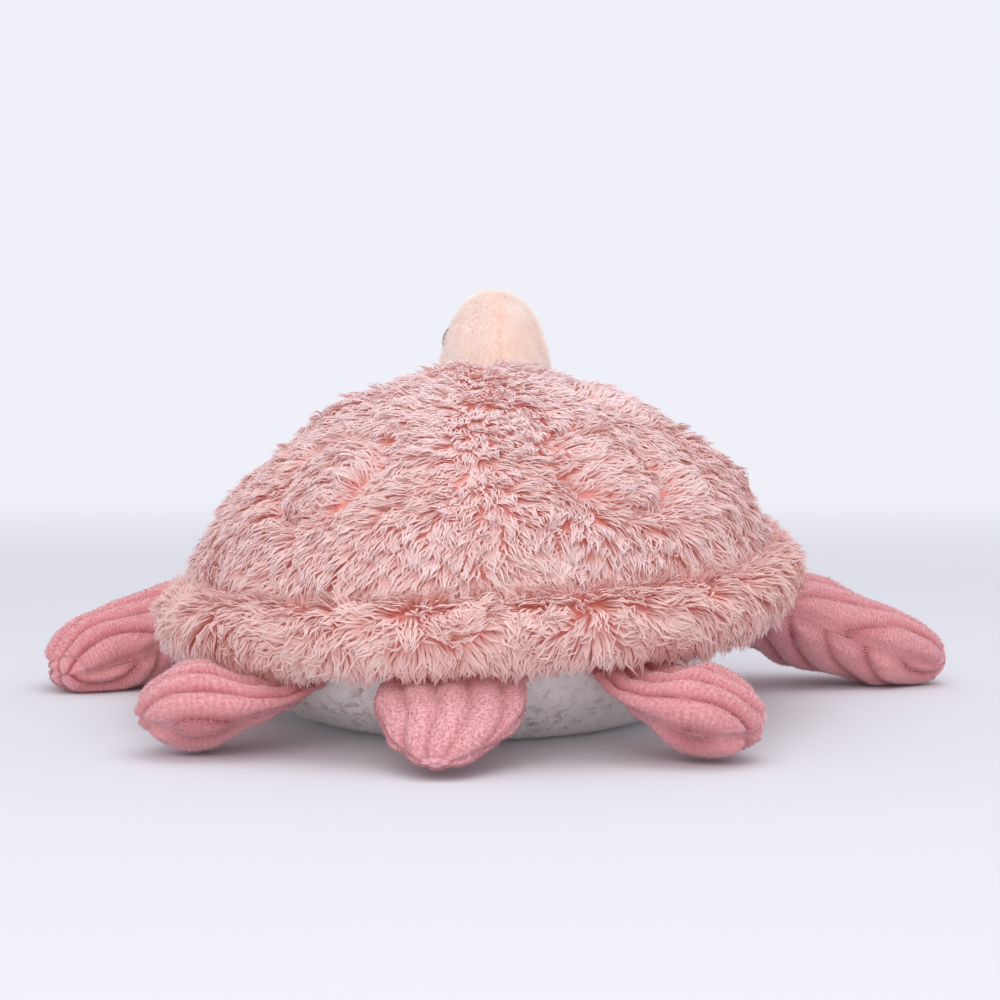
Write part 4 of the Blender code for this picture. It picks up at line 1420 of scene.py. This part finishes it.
def limbs() -> list[RibbedLimb]:
    """The four flippers and the tail.

    Returns:
        The limbs, ready to build.
    """
    front_right, front_left, rear_right, rear_left = (flipper_form(*form) for form in (
        ("front_right_flipper", 32.0, -5.0, ((0.0, -30.0), (0.3, -20.0), (1.0, -15.0))),
        ("front_left_flipper", 148.0, 248.0, ((0.0, -24.0), (0.3, -14.0), (1.0, -13.0))),
        ("rear_right_flipper", -54.0, -6.0, ((0.0, -34.0), (0.4, -18.0), (1.0, -10.0))),
        ("rear_left_flipper", -130.0, -188.0, ((0.0, -20.0), (0.4, -6.0), (1.0, -4.0)))))
    tail = LimbForm("tail", ((0.0, -90.0), (1.0, -98.0)), ((0.0, -32.0), (1.0, -22.0)),
                    0.050, 0.055, 0.020, TAIL_WIDTHS, TAIL_THICKNESSES, 0.3)
    return [RibbedLimb(front_right, RibRun.SLANTED, -1.0, 41, run_off=0.8),
            RibbedLimb(front_left, RibRun.SLANTED, 1.0, 42, run_off=0.8),
            RibbedLimb(rear_right, RibRun.ALONG, -1.0, 43, roll=28.0, fibres=7000),
            RibbedLimb(rear_left, RibRun.ALONG, 1.0, 44, roll=-28.0, fibres=7000),
            RibbedLimb(tail, RibRun.ALONG, -1.0, 45, pitch=0.0118, depth=0.0023, scallop=-0.3, fibres=6000,
                       run_off=0.75, lift=0.5, pinch=0.0004)]


@dataclass(frozen=True)
class SpeckledCloth:
    """The belly's finish: short white pile with soft grey-brown flecks."""

    def make(self, name: str) -> bpy.types.Material:
        """Makes the belly cloth's material.

        Args:
            name: The material's name.

        Returns:
            The material.
        """
        shader = Shader(name, 0.92, 0.2)
        fleck = shader.span(shader.noise(280.0, 3.0), 0.44, 0.76)
        patch = shader.span(shader.noise(60.0, 2.0), 0.36, 0.62, 0.2, 1.0)
        colour = shader.mix(fleck * patch, srgb(250, 245, 243), srgb(176, 158, 148))
        # painted glow: a faint white emission lifts the belly, standing in for the light scattered in its
        # short pile
        shader.scatter(srgb(250, 240, 236), 0.03)
        grain = shader.noise(1300.0, 3.0)
        return shader.paint(colour, None, grain, 0.0007)


@dataclass(frozen=True)
class PeachCloth:
    """The head's ground cloth: warm peach under short pale pile."""

    def make(self, name: str) -> bpy.types.Material:
        """Makes the head cloth's material.

        Args:
            name: The material's name.

        Returns:
            The material.
        """
        shader = Shader(name, 0.92, 0.4)
        cloth = shader.ramp(shader.noise(90.0, 3.0), (0.3, srgb(251, 233, 225)), (0.75, srgb(253, 242, 238)))
        parting = shader.reading("parting") * shader.span(shader.noise(160.0, 3.0), 0.25, 0.6, 0.2, 0.7)
        colour = shader.mix(parting, cloth, srgb(252, 206, 180))
        # painted glow: a peach emission stands in for the light scattered in the short pile
        shader.scatter(srgb(255, 218, 200), 0.07)
        return shader.paint(colour, None, shader.noise(1300.0, 3.0), 0.0003)


@dataclass
class Belly:
    """The belly's bowl with its flat patch, and short tufts on its sides."""

    thickness: float = 0.0018
    dent: float = 0.006
    dent_pitch: float = 0.028
    tufts: int = 9000
    seed: int = 61

    def skin(self, turn: Array, fall: Array) -> Array:
        """The cloth's places; fall past 1 runs in over the flat patch.

        Args:
            turn: Angles from the right side toward the head, in radians.
            fall: Shares of the way down the side, then past 1.

        Returns:
            The points.
        """
        fall = np.asarray(fall, float)
        side = BODY.belly(turn, np.clip(fall, 0.0, 1.0))
        inward = np.clip(2.0 - np.maximum(fall, 1.0), 0.0, 1.0)[..., None]
        points = side * np.concatenate([np.repeat(inward, 2, -1), np.ones_like(inward)], -1)
        dent = self.dent * np.abs(waves(points.reshape(-1, 3), self.dent_pitch, self.seed))
        dent = dent.reshape(fall.shape) * smooth(points[..., 2] / 0.008)
        points[..., :2] *= 1.0 - dent[..., None]
        return points

    def build(self) -> None:
        """Builds the belly in place of the frame's panel."""
        turns, rows = 128, 34
        fall = np.concatenate([np.linspace(0.0, 1.0, rows - 6), np.linspace(1.0, 1.97, 7)[1:]])
        points = self.skin(*grid(round_turns(turns), fall))
        ends = np.arange(turns, 0, -1) * rows - 1
        faces = [quads(turns, rows, ring=True), fan(ends, len(points))]
        piece = add_mesh("belly_cloth", np.vstack([points, np.zeros(3)]), faces)
        give_thickness(piece, self.thickness)
        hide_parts("belly_panel")
        place(piece, SpeckledCloth().make("belly_speckled"), "body", "belly_cloth", 0.6)
        place(self.make_tufts(), SpeckledCloth().make("belly_pile"), "body", "belly_cloth")

    def make_tufts(self) -> bpy.types.Object:
        """The short tufts on the belly's sides, shorter toward the floor.

        Returns:
            The piece.
        """
        across, down = spread(self.tufts, self.seed)
        roots, normals, flow = slopes(self.skin, across * math.tau, 0.12 + 0.78 * down)
        normals = facing(normals, roots * LEVEL)
        draw = np.random.default_rng(self.seed)
        count = len(roots)
        flow = turned(flow, normals, draw.normal(0, 0.6, count))
        lengths = draw.uniform(0.0016, 0.0028, count) * np.clip(roots[:, 2] / 0.006, 0.1, 1.0)
        widths = draw.uniform(0.0005, 0.0009, count)
        pile = Spikes(roots, normals, flow, lengths, widths, draw.uniform(0.35, 0.8, count), self.seed,
                      clump_size=5.0, clump_pull=0.4, softness=0.7)
        return pile.build("belly_pile")


@dataclass
class Head:
    """The head on its bent neck, with a middle seam, short pile and two domed eyes."""

    half_width: float = 0.0260
    half_length: float = 0.0360
    half_height: float = 0.0380
    rise: float = 0.0270
    reach: float = 0.0050
    yaw: float = 8.0
    taper: float = 0.16
    eye_radius: float = 0.0055
    eye_bulge: float = 0.0027
    eye_forward: float = 22.0
    eye_up: float = 26.0
    pile_depth: float = 0.0008
    tufts: int = 24000
    throat_radius: float = 0.0192
    throat_roll: float = 0.0045
    throat_lap: float = 0.0012
    crown_narrowing: float = 0.045
    seam_depth: float = 0.0005
    seam_width: float = 0.0020
    joint_gap: float = 0.0003
    eye_edge: float = 0.0003
    comb: tuple[float, float, float] = (0.05, -0.75, -0.66)
    seed: int = 71

    @property
    def pivot(self) -> Array:
        """The joint that the head turns on."""
        return np.array(JOINTS["head"]["pos_m"], float)

    @property
    def sizes(self) -> Array:
        """Half the head's width, length and height."""
        return np.array([self.half_width, self.half_length, self.half_height])

    @property
    def cut_share(self) -> float:
        """How far down the head's half height its cloth is cut for the neck."""
        return (self.rise - self.joint_gap) / (self.half_height - self.pile_depth)

    def settle(self, points: Array) -> Array:
        """Moves points from about the head's middle to where the head rests.

        Args:
            points: Points about the head's middle.

        Returns:
            The points in the frame.
        """
        turn = math.radians(self.yaw)
        points = np.asarray(points) + np.array([0.0, self.reach, self.rise])
        across = points[..., 0] * math.cos(turn) - points[..., 1] * math.sin(turn)
        ahead = points[..., 0] * math.sin(turn) + points[..., 1] * math.cos(turn)
        return self.pivot + np.stack([across, ahead, points[..., 2]], -1)

    def beside(self, points: Array) -> Array:
        """How far points of the settled head lie from its middle seam.

        Args:
            points: Points of the settled head.

        Returns:
            The distances, to the right above 0.
        """
        turn = math.radians(self.yaw)
        away = points - self.settle(np.zeros(3))
        return away[:, 0] * math.cos(turn) + away[:, 1] * math.sin(turn)

    def narrow(self, direction: Array) -> Array:
        """How far the head narrows toward its snout, 1 where it doesn't."""
        return 1.0 - self.taper * np.maximum(0.0, direction[..., 1]) ** 2

    def form(self, direction: Array, inset: float = 0.0) -> Array:
        """Points on the head's outer face about its middle.

        Args:
            direction: Directions from the middle.
            inset: How far under the outer face, in metres.

        Returns:
            The points.
        """
        points = direction * (self.sizes - inset)
        points[..., ::2] *= self.narrow(direction)[..., None]
        return points

    def skin(self, turn: Array, fall: Array) -> Array:
        """The cloth's places; turn runs round the up axis and fall from the crown to the throat.

        Args:
            turn: Angles round the up axis, in radians.
            fall: Shares of the half turn down.

        Returns:
            The points.
        """
        angle = np.asarray(fall) * math.pi
        direction = np.stack([np.sin(angle) * np.cos(turn), np.sin(angle) * np.sin(turn), np.cos(angle)], -1)
        points = self.form(direction, self.pile_depth)
        crown = smooth((direction[..., 2] + 0.2) / 0.7)
        points[..., 0] *= 1.0 - self.crown_narrowing * crown
        seam = self.seam_depth * np.exp(-(points[..., 0] / self.seam_width) ** 2)
        down = np.clip(-direction[..., 2] / self.cut_share, 0.0, 1.0)
        points[..., 2] *= 1.0 + (1.0 / self.narrow(direction) - 1.0) * down ** 4
        points = self.settle(points * (1.0 - seam / 0.03)[..., None])
        away = (points - self.pivot) * LEVEL
        reach = np.maximum(np.linalg.norm(away, axis=-1, keepdims=True), 1e-6)
        low = np.clip(1.0 - (points[..., 2:] - self.pivot[2]) / self.throat_roll, 0.0, 1.0)
        gathered = np.clip(reach - self.throat_radius, 0.0, self.throat_roll)
        return points - away / reach * gathered * (1.0 - np.sqrt(1.0 - low ** 2))

    def make_cloth(self, cloth: bpy.types.Material) -> None:
        """The head's two cloth panels, closed at the middle seam.

        Args:
            cloth: The panels' material.
        """
        columns, rows, parting_width = 49, 52, 0.0032
        fall = np.linspace(0.004, 0.5 + math.asin(self.cut_share) / math.pi, rows)
        for name, start in (("right", -math.pi / 2), ("left", math.pi / 2)):
            turn = start + np.linspace(0.0, math.pi, columns)
            skin = self.skin(*grid(turn, fall)).reshape(columns, rows, 3)
            points = np.concatenate([skin, self.throat(skin[:, -1])], 1)
            faces = [quads(columns, points.shape[1])]
            points = points.reshape(-1, 3)
            parting = np.exp(-(self.beside(points) / parting_width) ** 2)
            piece = add_mesh(f"head_{name}_cloth", points, faces, {"parting": parting})
            give_thickness(piece)
            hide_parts(f"head_{name}_panel")
            place(piece, cloth, "head", "head_cloth", 0.9)

    def throat(self, edge: Array) -> Array:
        """Rows of cloth that close the head's cut edge in to the neck.

        Args:
            edge: The points of the cut edge.

        Returns:
            Rows of points from the edge in, for each of its points.
        """
        away = (edge - self.pivot) * LEVEL
        reach = np.linalg.norm(away, axis=1, keepdims=True)
        inner = edge - away * np.maximum(self.throat_lap, reach - self.throat_radius) / reach
        steps = np.linspace(0.2, 1.0, 5)[:, None, None]
        rows = edge + (inner - edge) * steps
        return rows.transpose(1, 0, 2)

    def make_pile(self) -> None:
        """The short pile, combed back from the face and away from the seam."""
        across, down = spread(self.tufts, self.seed)
        turn = across * math.tau
        fall = np.arccos(np.clip(1.0 - (1.0 + self.cut_share) * down, -1.0, 1.0)) / math.pi
        roots, normals, _ = slopes(self.skin, turn, np.clip(fall, 0.01, 0.99))
        normals = facing(normals, roots - self.settle(np.zeros(3)))
        flow = laid(np.array(self.comb), normals)
        draw = np.random.default_rng(self.seed)
        count = len(roots)
        flow = turned(flow, normals, 0.5 * waves(roots, 0.03, 73) + draw.normal(0, 0.3, count))
        clear = np.abs(self.beside(roots)) > 0.0006 * draw.uniform(0.0, 1.6, count)
        for side in (-1, 1):
            spot, _ = self.eye_place(side)
            clear &= np.linalg.norm(roots - spot, axis=1) > self.eye_radius * 0.98
        over_neck = 0.35 + 0.65 * smooth((roots[:, 2] - self.pivot[2]) / 0.005)
        lengths = draw.uniform(0.0026, 0.0042, count) * over_neck
        widths = draw.uniform(0.0003, 0.0005, count)
        rise = 0.60 + 0.12 * waves(roots, 0.012, 74) + draw.normal(0, 0.12, count)
        pile = Spikes(roots, normals, flow, lengths, widths, np.clip(rise, 0.1, 0.95), self.seed,
                      softness=0.75)
        nape = self.settle(self.form(unit(np.array([0.0, -1.0, 0.2]))))
        finish = Fuzz(srgb(251, 238, 230), srgb(253, 251, 248), srgb(252, 249, 246), 0.075,
                      srgb(254, 226, 206), tuple(nape))
        place(pile.build("head_pile", clear), finish.make("head_pile"), "head", "head_cloth")

    def eye_place(self, side: int) -> tuple[Array, Array]:
        """Where an eye sits, and the direction that it looks in.

        Args:
            side: -1 for the left and 1 for the right eye.

        Returns:
            The place and the direction.
        """
        ahead, up = math.radians(self.eye_forward), math.radians(self.eye_up)
        level = math.cos(up)
        direction = np.array([side * level * math.cos(ahead), level * math.sin(ahead), math.sin(up)])
        spot = self.form(direction)
        before = self.settle(spot + unit(spot / self.sizes ** 2))
        return self.settle(spot), unit(before - self.settle(spot))

    def make_eyes(self) -> None:
        """Two dark domes with a thin edge, each over its stem."""
        shader = Shader("eye_gloss", 0.07)
        shader.surface.inputs["Specular IOR Level"].default_value = 0.6
        shader.surface.inputs["Coat Weight"].default_value = 0.35
        tint = shader.mix(shader.noise(260.0, 2.0), srgb(16, 14, 15), srgb(26, 22, 23))
        gloss = shader.paint(tint, shader.span(shader.noise(420.0, 3.0), 0.3, 0.8, 0.05, 0.13))
        points, faces = self.eye_form()
        for side, word in ((-1, "left"), (1, "right")):
            spot, outward = self.eye_place(side)
            axes = np.array(Vector(outward).to_track_quat("Z", "Y").to_matrix())
            piece = add_mesh(f"eye_{word}_dome", spot - outward * self.pile_depth + points @ axes.T, faces)
            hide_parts(f"eye_{word}")
            place(piece, gloss, "head", "eye_black")

    def eye_form(self) -> tuple[Array, list[Array]]:
        """An eye's points and faces about the middle of its edge: its stem, its back and its dome.

        Returns:
            The points and the faces.
        """
        sides, foot, stem = 40, -0.0060, 0.0018
        dome = np.linspace(0.0, math.pi / 2, 13)[:-1]
        radius = np.append([0.0015, stem, stem, self.eye_radius * 0.93], self.eye_radius * np.cos(dome))
        height = self.eye_edge + self.eye_bulge * np.sin(dome)
        height = np.append([foot, -0.0058, -0.0004, -self.eye_edge], height)
        ring, turn = grid(radius, round_turns(sides))
        points = np.stack([ring * np.cos(turn), ring * np.sin(turn), np.repeat(height, sides)], -1)
        ends = np.array([[0.0, 0.0, self.eye_edge + self.eye_bulge], [0.0, 0.0, foot]])
        back = np.arange(sides)[::-1]
        front = np.arange(len(points) - sides, len(points))
        faces = [quads(len(radius), sides, tube=True), fan(front, len(points)), fan(back, len(points) + 1)]
        return np.vstack([points, ends]), faces

    def build(self) -> None:
        """Builds the head in place of the frame's panels and eyes."""
        self.make_cloth(PeachCloth().make("head_peach"))
        self.make_pile()
        self.make_eyes()


@dataclass
class Neck:
    """The neck's sleeve, on the seam at the front of the belly."""

    form: LimbForm
    tufts: int = 9000
    ease: float = 0.07
    easing: Pairs = ((-1.0, 0.12), (-0.5, 0.22), (0.0, 0.32), (0.5, 0.22), (1.0, 0.12))
    swell: float = -0.001
    seed: int = 81

    def skin(self, share: Array, angle: Array) -> Array:
        """The sleeve's places, eased along the neck so that its bend doesn't crease.

        Args:
            share: Shares of the length.
            angle: Angles round the section.

        Returns:
            The points.
        """
        share = np.asarray(share, float)
        room = self.ease * np.clip(np.minimum(share, 1.0 - share) / 0.12, 0.0, 1.0)
        points = np.zeros(share.shape + (3,))
        for step, weight in self.easing:
            points += weight * self.form.skin(share + step * room, angle, self.swell)[0]
        return points

    def build(self) -> None:
        """Builds the neck in place of the frame's sleeve and seam."""
        cloth = PeachCloth().make("neck_peach")
        sides, rings = 64, 60
        points = self.skin(*grid(np.linspace(0.0, 1.0, rings), round_turns(sides)))
        piece = add_mesh("neck_cloth", points, [quads(rings, sides, tube=True)])
        give_thickness(piece)
        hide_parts("neck_cover")
        place(piece, cloth, "neck", "head_cloth", 0.8)
        roll = seam_roll(self.form)
        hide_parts("neck_seam")
        place(roll, cloth, "body", "head_cloth")
        finish = Fuzz(srgb(250, 230, 221), srgb(253, 246, 243), srgb(250, 244, 240), 0.06)
        place(self.make_pile(), finish.make("neck_pile"), "neck", "head_cloth")

    def make_pile(self) -> bpy.types.Object:
        """The short pile, combed down from the head.

        Returns:
            The piece.
        """
        across, down = spread(self.tufts, self.seed)
        angle, share = across * math.tau, 0.02 + 0.94 * down
        roots, normals, _ = slopes(lambda first, second: self.skin(second, first), angle, share)
        normals = facing(normals, self.form.skin(share, angle)[1])
        flow = laid(-self.form.directions(share)[0], normals)
        draw = np.random.default_rng(self.seed)
        count = len(roots)
        flow = turned(flow, normals, 0.4 * waves(roots, 0.03, 83) + draw.normal(0, 0.3, count))
        lengths, widths = draw.uniform(0.0018, 0.0028, count), draw.uniform(0.0004, 0.0006, count)
        rise = np.clip(0.30 + draw.normal(0, 0.06, count), 0.1, 0.6)
        return Spikes(roots, normals, flow, lengths, widths, rise, self.seed).build("neck_pile")


def dress_inside() -> None:
    """Gives the stuffing, the wadding and the washers, which stay as the frame has them, their finishes."""
    shader = Shader("white_fibre", 1.0)
    strand = shader.ramp(shader.noise(420.0, 5.0), (0.3, srgb(226, 226, 224)), (0.7, srgb(248, 248, 246)))
    fibre = shader.paint(strand, None, shader.noise(700.0, 4.0), 0.0010)
    shader = Shader("washer_plastic", 0.45)
    plastic = shader.paint(shader.mix(shader.noise(300.0), srgb(232, 232, 230), srgb(242, 242, 240)))
    finishes = {"stuffing": fibre, "wadding": fibre, "filling": fibre, "washer": plastic}
    for name, thing in frame["nodes"].items():
        for word, finish in finishes.items():
            if word in name:
                thing.data.materials.clear()
                thing.data.materials.append(finish)


@dataclass
class Studio:
    """A pale seamless floor, a soft light from above, and the camera."""

    focal_length: float = 90.0
    camera_height: float = 0.142
    horizon_row: float = 355.0
    image_rows: float = 1000.0
    distance: float = 1.0
    azimuth: float = 2.9
    sideways: float = -0.0075
    near: float = 0.45
    far: float = 1.6
    backdrop: Colour = srgb(240, 240, 249)
    floor_tone: Colour = srgb(220, 220, 226)
    sky: Colour = srgb(248, 248, 255)
    sky_strength: float = 0.83
    lamp_size: float = 1.3
    lamp_aim: tuple[float, float, float] = (0.0, 0.0, 0.05)

    def place_camera(self) -> None:
        """Puts the camera where the photograph was taken from."""
        lens = bpy.data.cameras.new("camera")
        lens.lens = self.focal_length
        lens.sensor_width = 36.0
        lens.clip_start, lens.clip_end = 0.05, 50.0
        lens.shift_y = (self.horizon_row - self.image_rows / 2) / self.image_rows
        thing = add_object("camera", lens)
        turn = math.radians(self.azimuth)
        ahead = Vector((-math.sin(turn), math.cos(turn), 0.0))
        right = Vector((math.cos(turn), math.sin(turn), 0.0))
        spot = -ahead * self.distance - right * self.sideways
        self.aim(thing, Vector((spot.x, spot.y, self.camera_height)), ahead)
        bpy.context.scene.camera = thing

    @staticmethod
    def aim(thing: bpy.types.Object, spot: Vector, ahead: Vector) -> None:
        """Puts a camera or a lamp at a spot and turns it to look ahead.

        Args:
            thing: The camera or lamp.
            spot: Where it stands.
            ahead: The direction that it looks in.
        """
        thing.location = spot
        thing.rotation_mode = "QUATERNION"
        thing.rotation_quaternion = ahead.to_track_quat("-Z", "Y")

    def lay_floor(self) -> None:
        """The floor, which turns into the backdrop's plain colour with distance."""
        count, reach = 96, 14.0
        turn = round_turns(count)
        points = np.stack([reach * np.cos(turn), reach * np.sin(turn), np.zeros(count)], -1)
        floor = add_mesh("floor", points, [np.arange(count)[None]])
        shader = Shader("floor", 0.9)
        shader.feed(shader.surface.inputs["Base Color"], self.floor_tone)
        gap = shader.wire("ShaderNodeVectorMath", "Value", {"operation": "LENGTH"}, {0: shader.place()})
        far = shader.span(gap, self.near, self.far)
        seen = shader.wire("ShaderNodeLightPath", "Is Camera Ray")
        glow = shader.wire("ShaderNodeEmission", 0, None, {"Color": self.backdrop, "Strength": 1.0})
        both = shader.wire("ShaderNodeMixShader", 0, None,
                           {0: far * seen, 1: Wire(shader, shader.surface.outputs[0]), 2: glow})
        shader.feed(shader.nodes["Material Output"].inputs["Surface"], both)
        floor.data.materials.append(shader.material)

    def light(self) -> None:
        """A pale world and two large soft lamps."""
        world = bpy.data.worlds.new("world")
        bpy.context.scene.world = world
        tree = Tree(world)
        sky = tree.nodes["Background"]
        tree.feed(sky.inputs["Color"], self.sky)
        tree.feed(sky.inputs["Strength"], self.sky_strength)
        seen = tree.wire("ShaderNodeLightPath", "Is Camera Ray")
        view = tree.wire("ShaderNodeBackground", 0, None, {"Color": self.backdrop})
        both = tree.wire("ShaderNodeMixShader", 0, None, {0: seen, 1: Wire(tree, sky.outputs[0]), 2: view})
        tree.feed(tree.nodes["World Output"].inputs["Surface"], both)
        for name, spot, power in (("lamp_over", (0.25, -0.25, 1.5), 7.0),
                                  ("lamp_side", (-0.15, -1.6, 0.8), 10.8)):
            lamp = bpy.data.lights.new(name, "AREA")
            lamp.size = self.lamp_size
            lamp.energy = power
            self.aim(add_object(name, lamp), Vector(spot), Vector(self.lamp_aim) - Vector(spot))

    def build(self) -> None:
        """Makes the floor, the light and the camera."""
        bpy.context.scene.view_settings.view_transform = "Standard"
        self.place_camera()
        self.lay_floor()
        self.light()


def main() -> None:
    """Builds the turtle and its studio."""
    logging.basicConfig(level=logging.INFO, format="%(message)s")
    Studio().build()
    Shell().build()
    Rim().build()
    for limb in limbs():
        limb.build()
    Belly().build()
    Neck(neck_form()).build()
    Head().build()
    dress_inside()


if __name__ == "__main__":
    main()
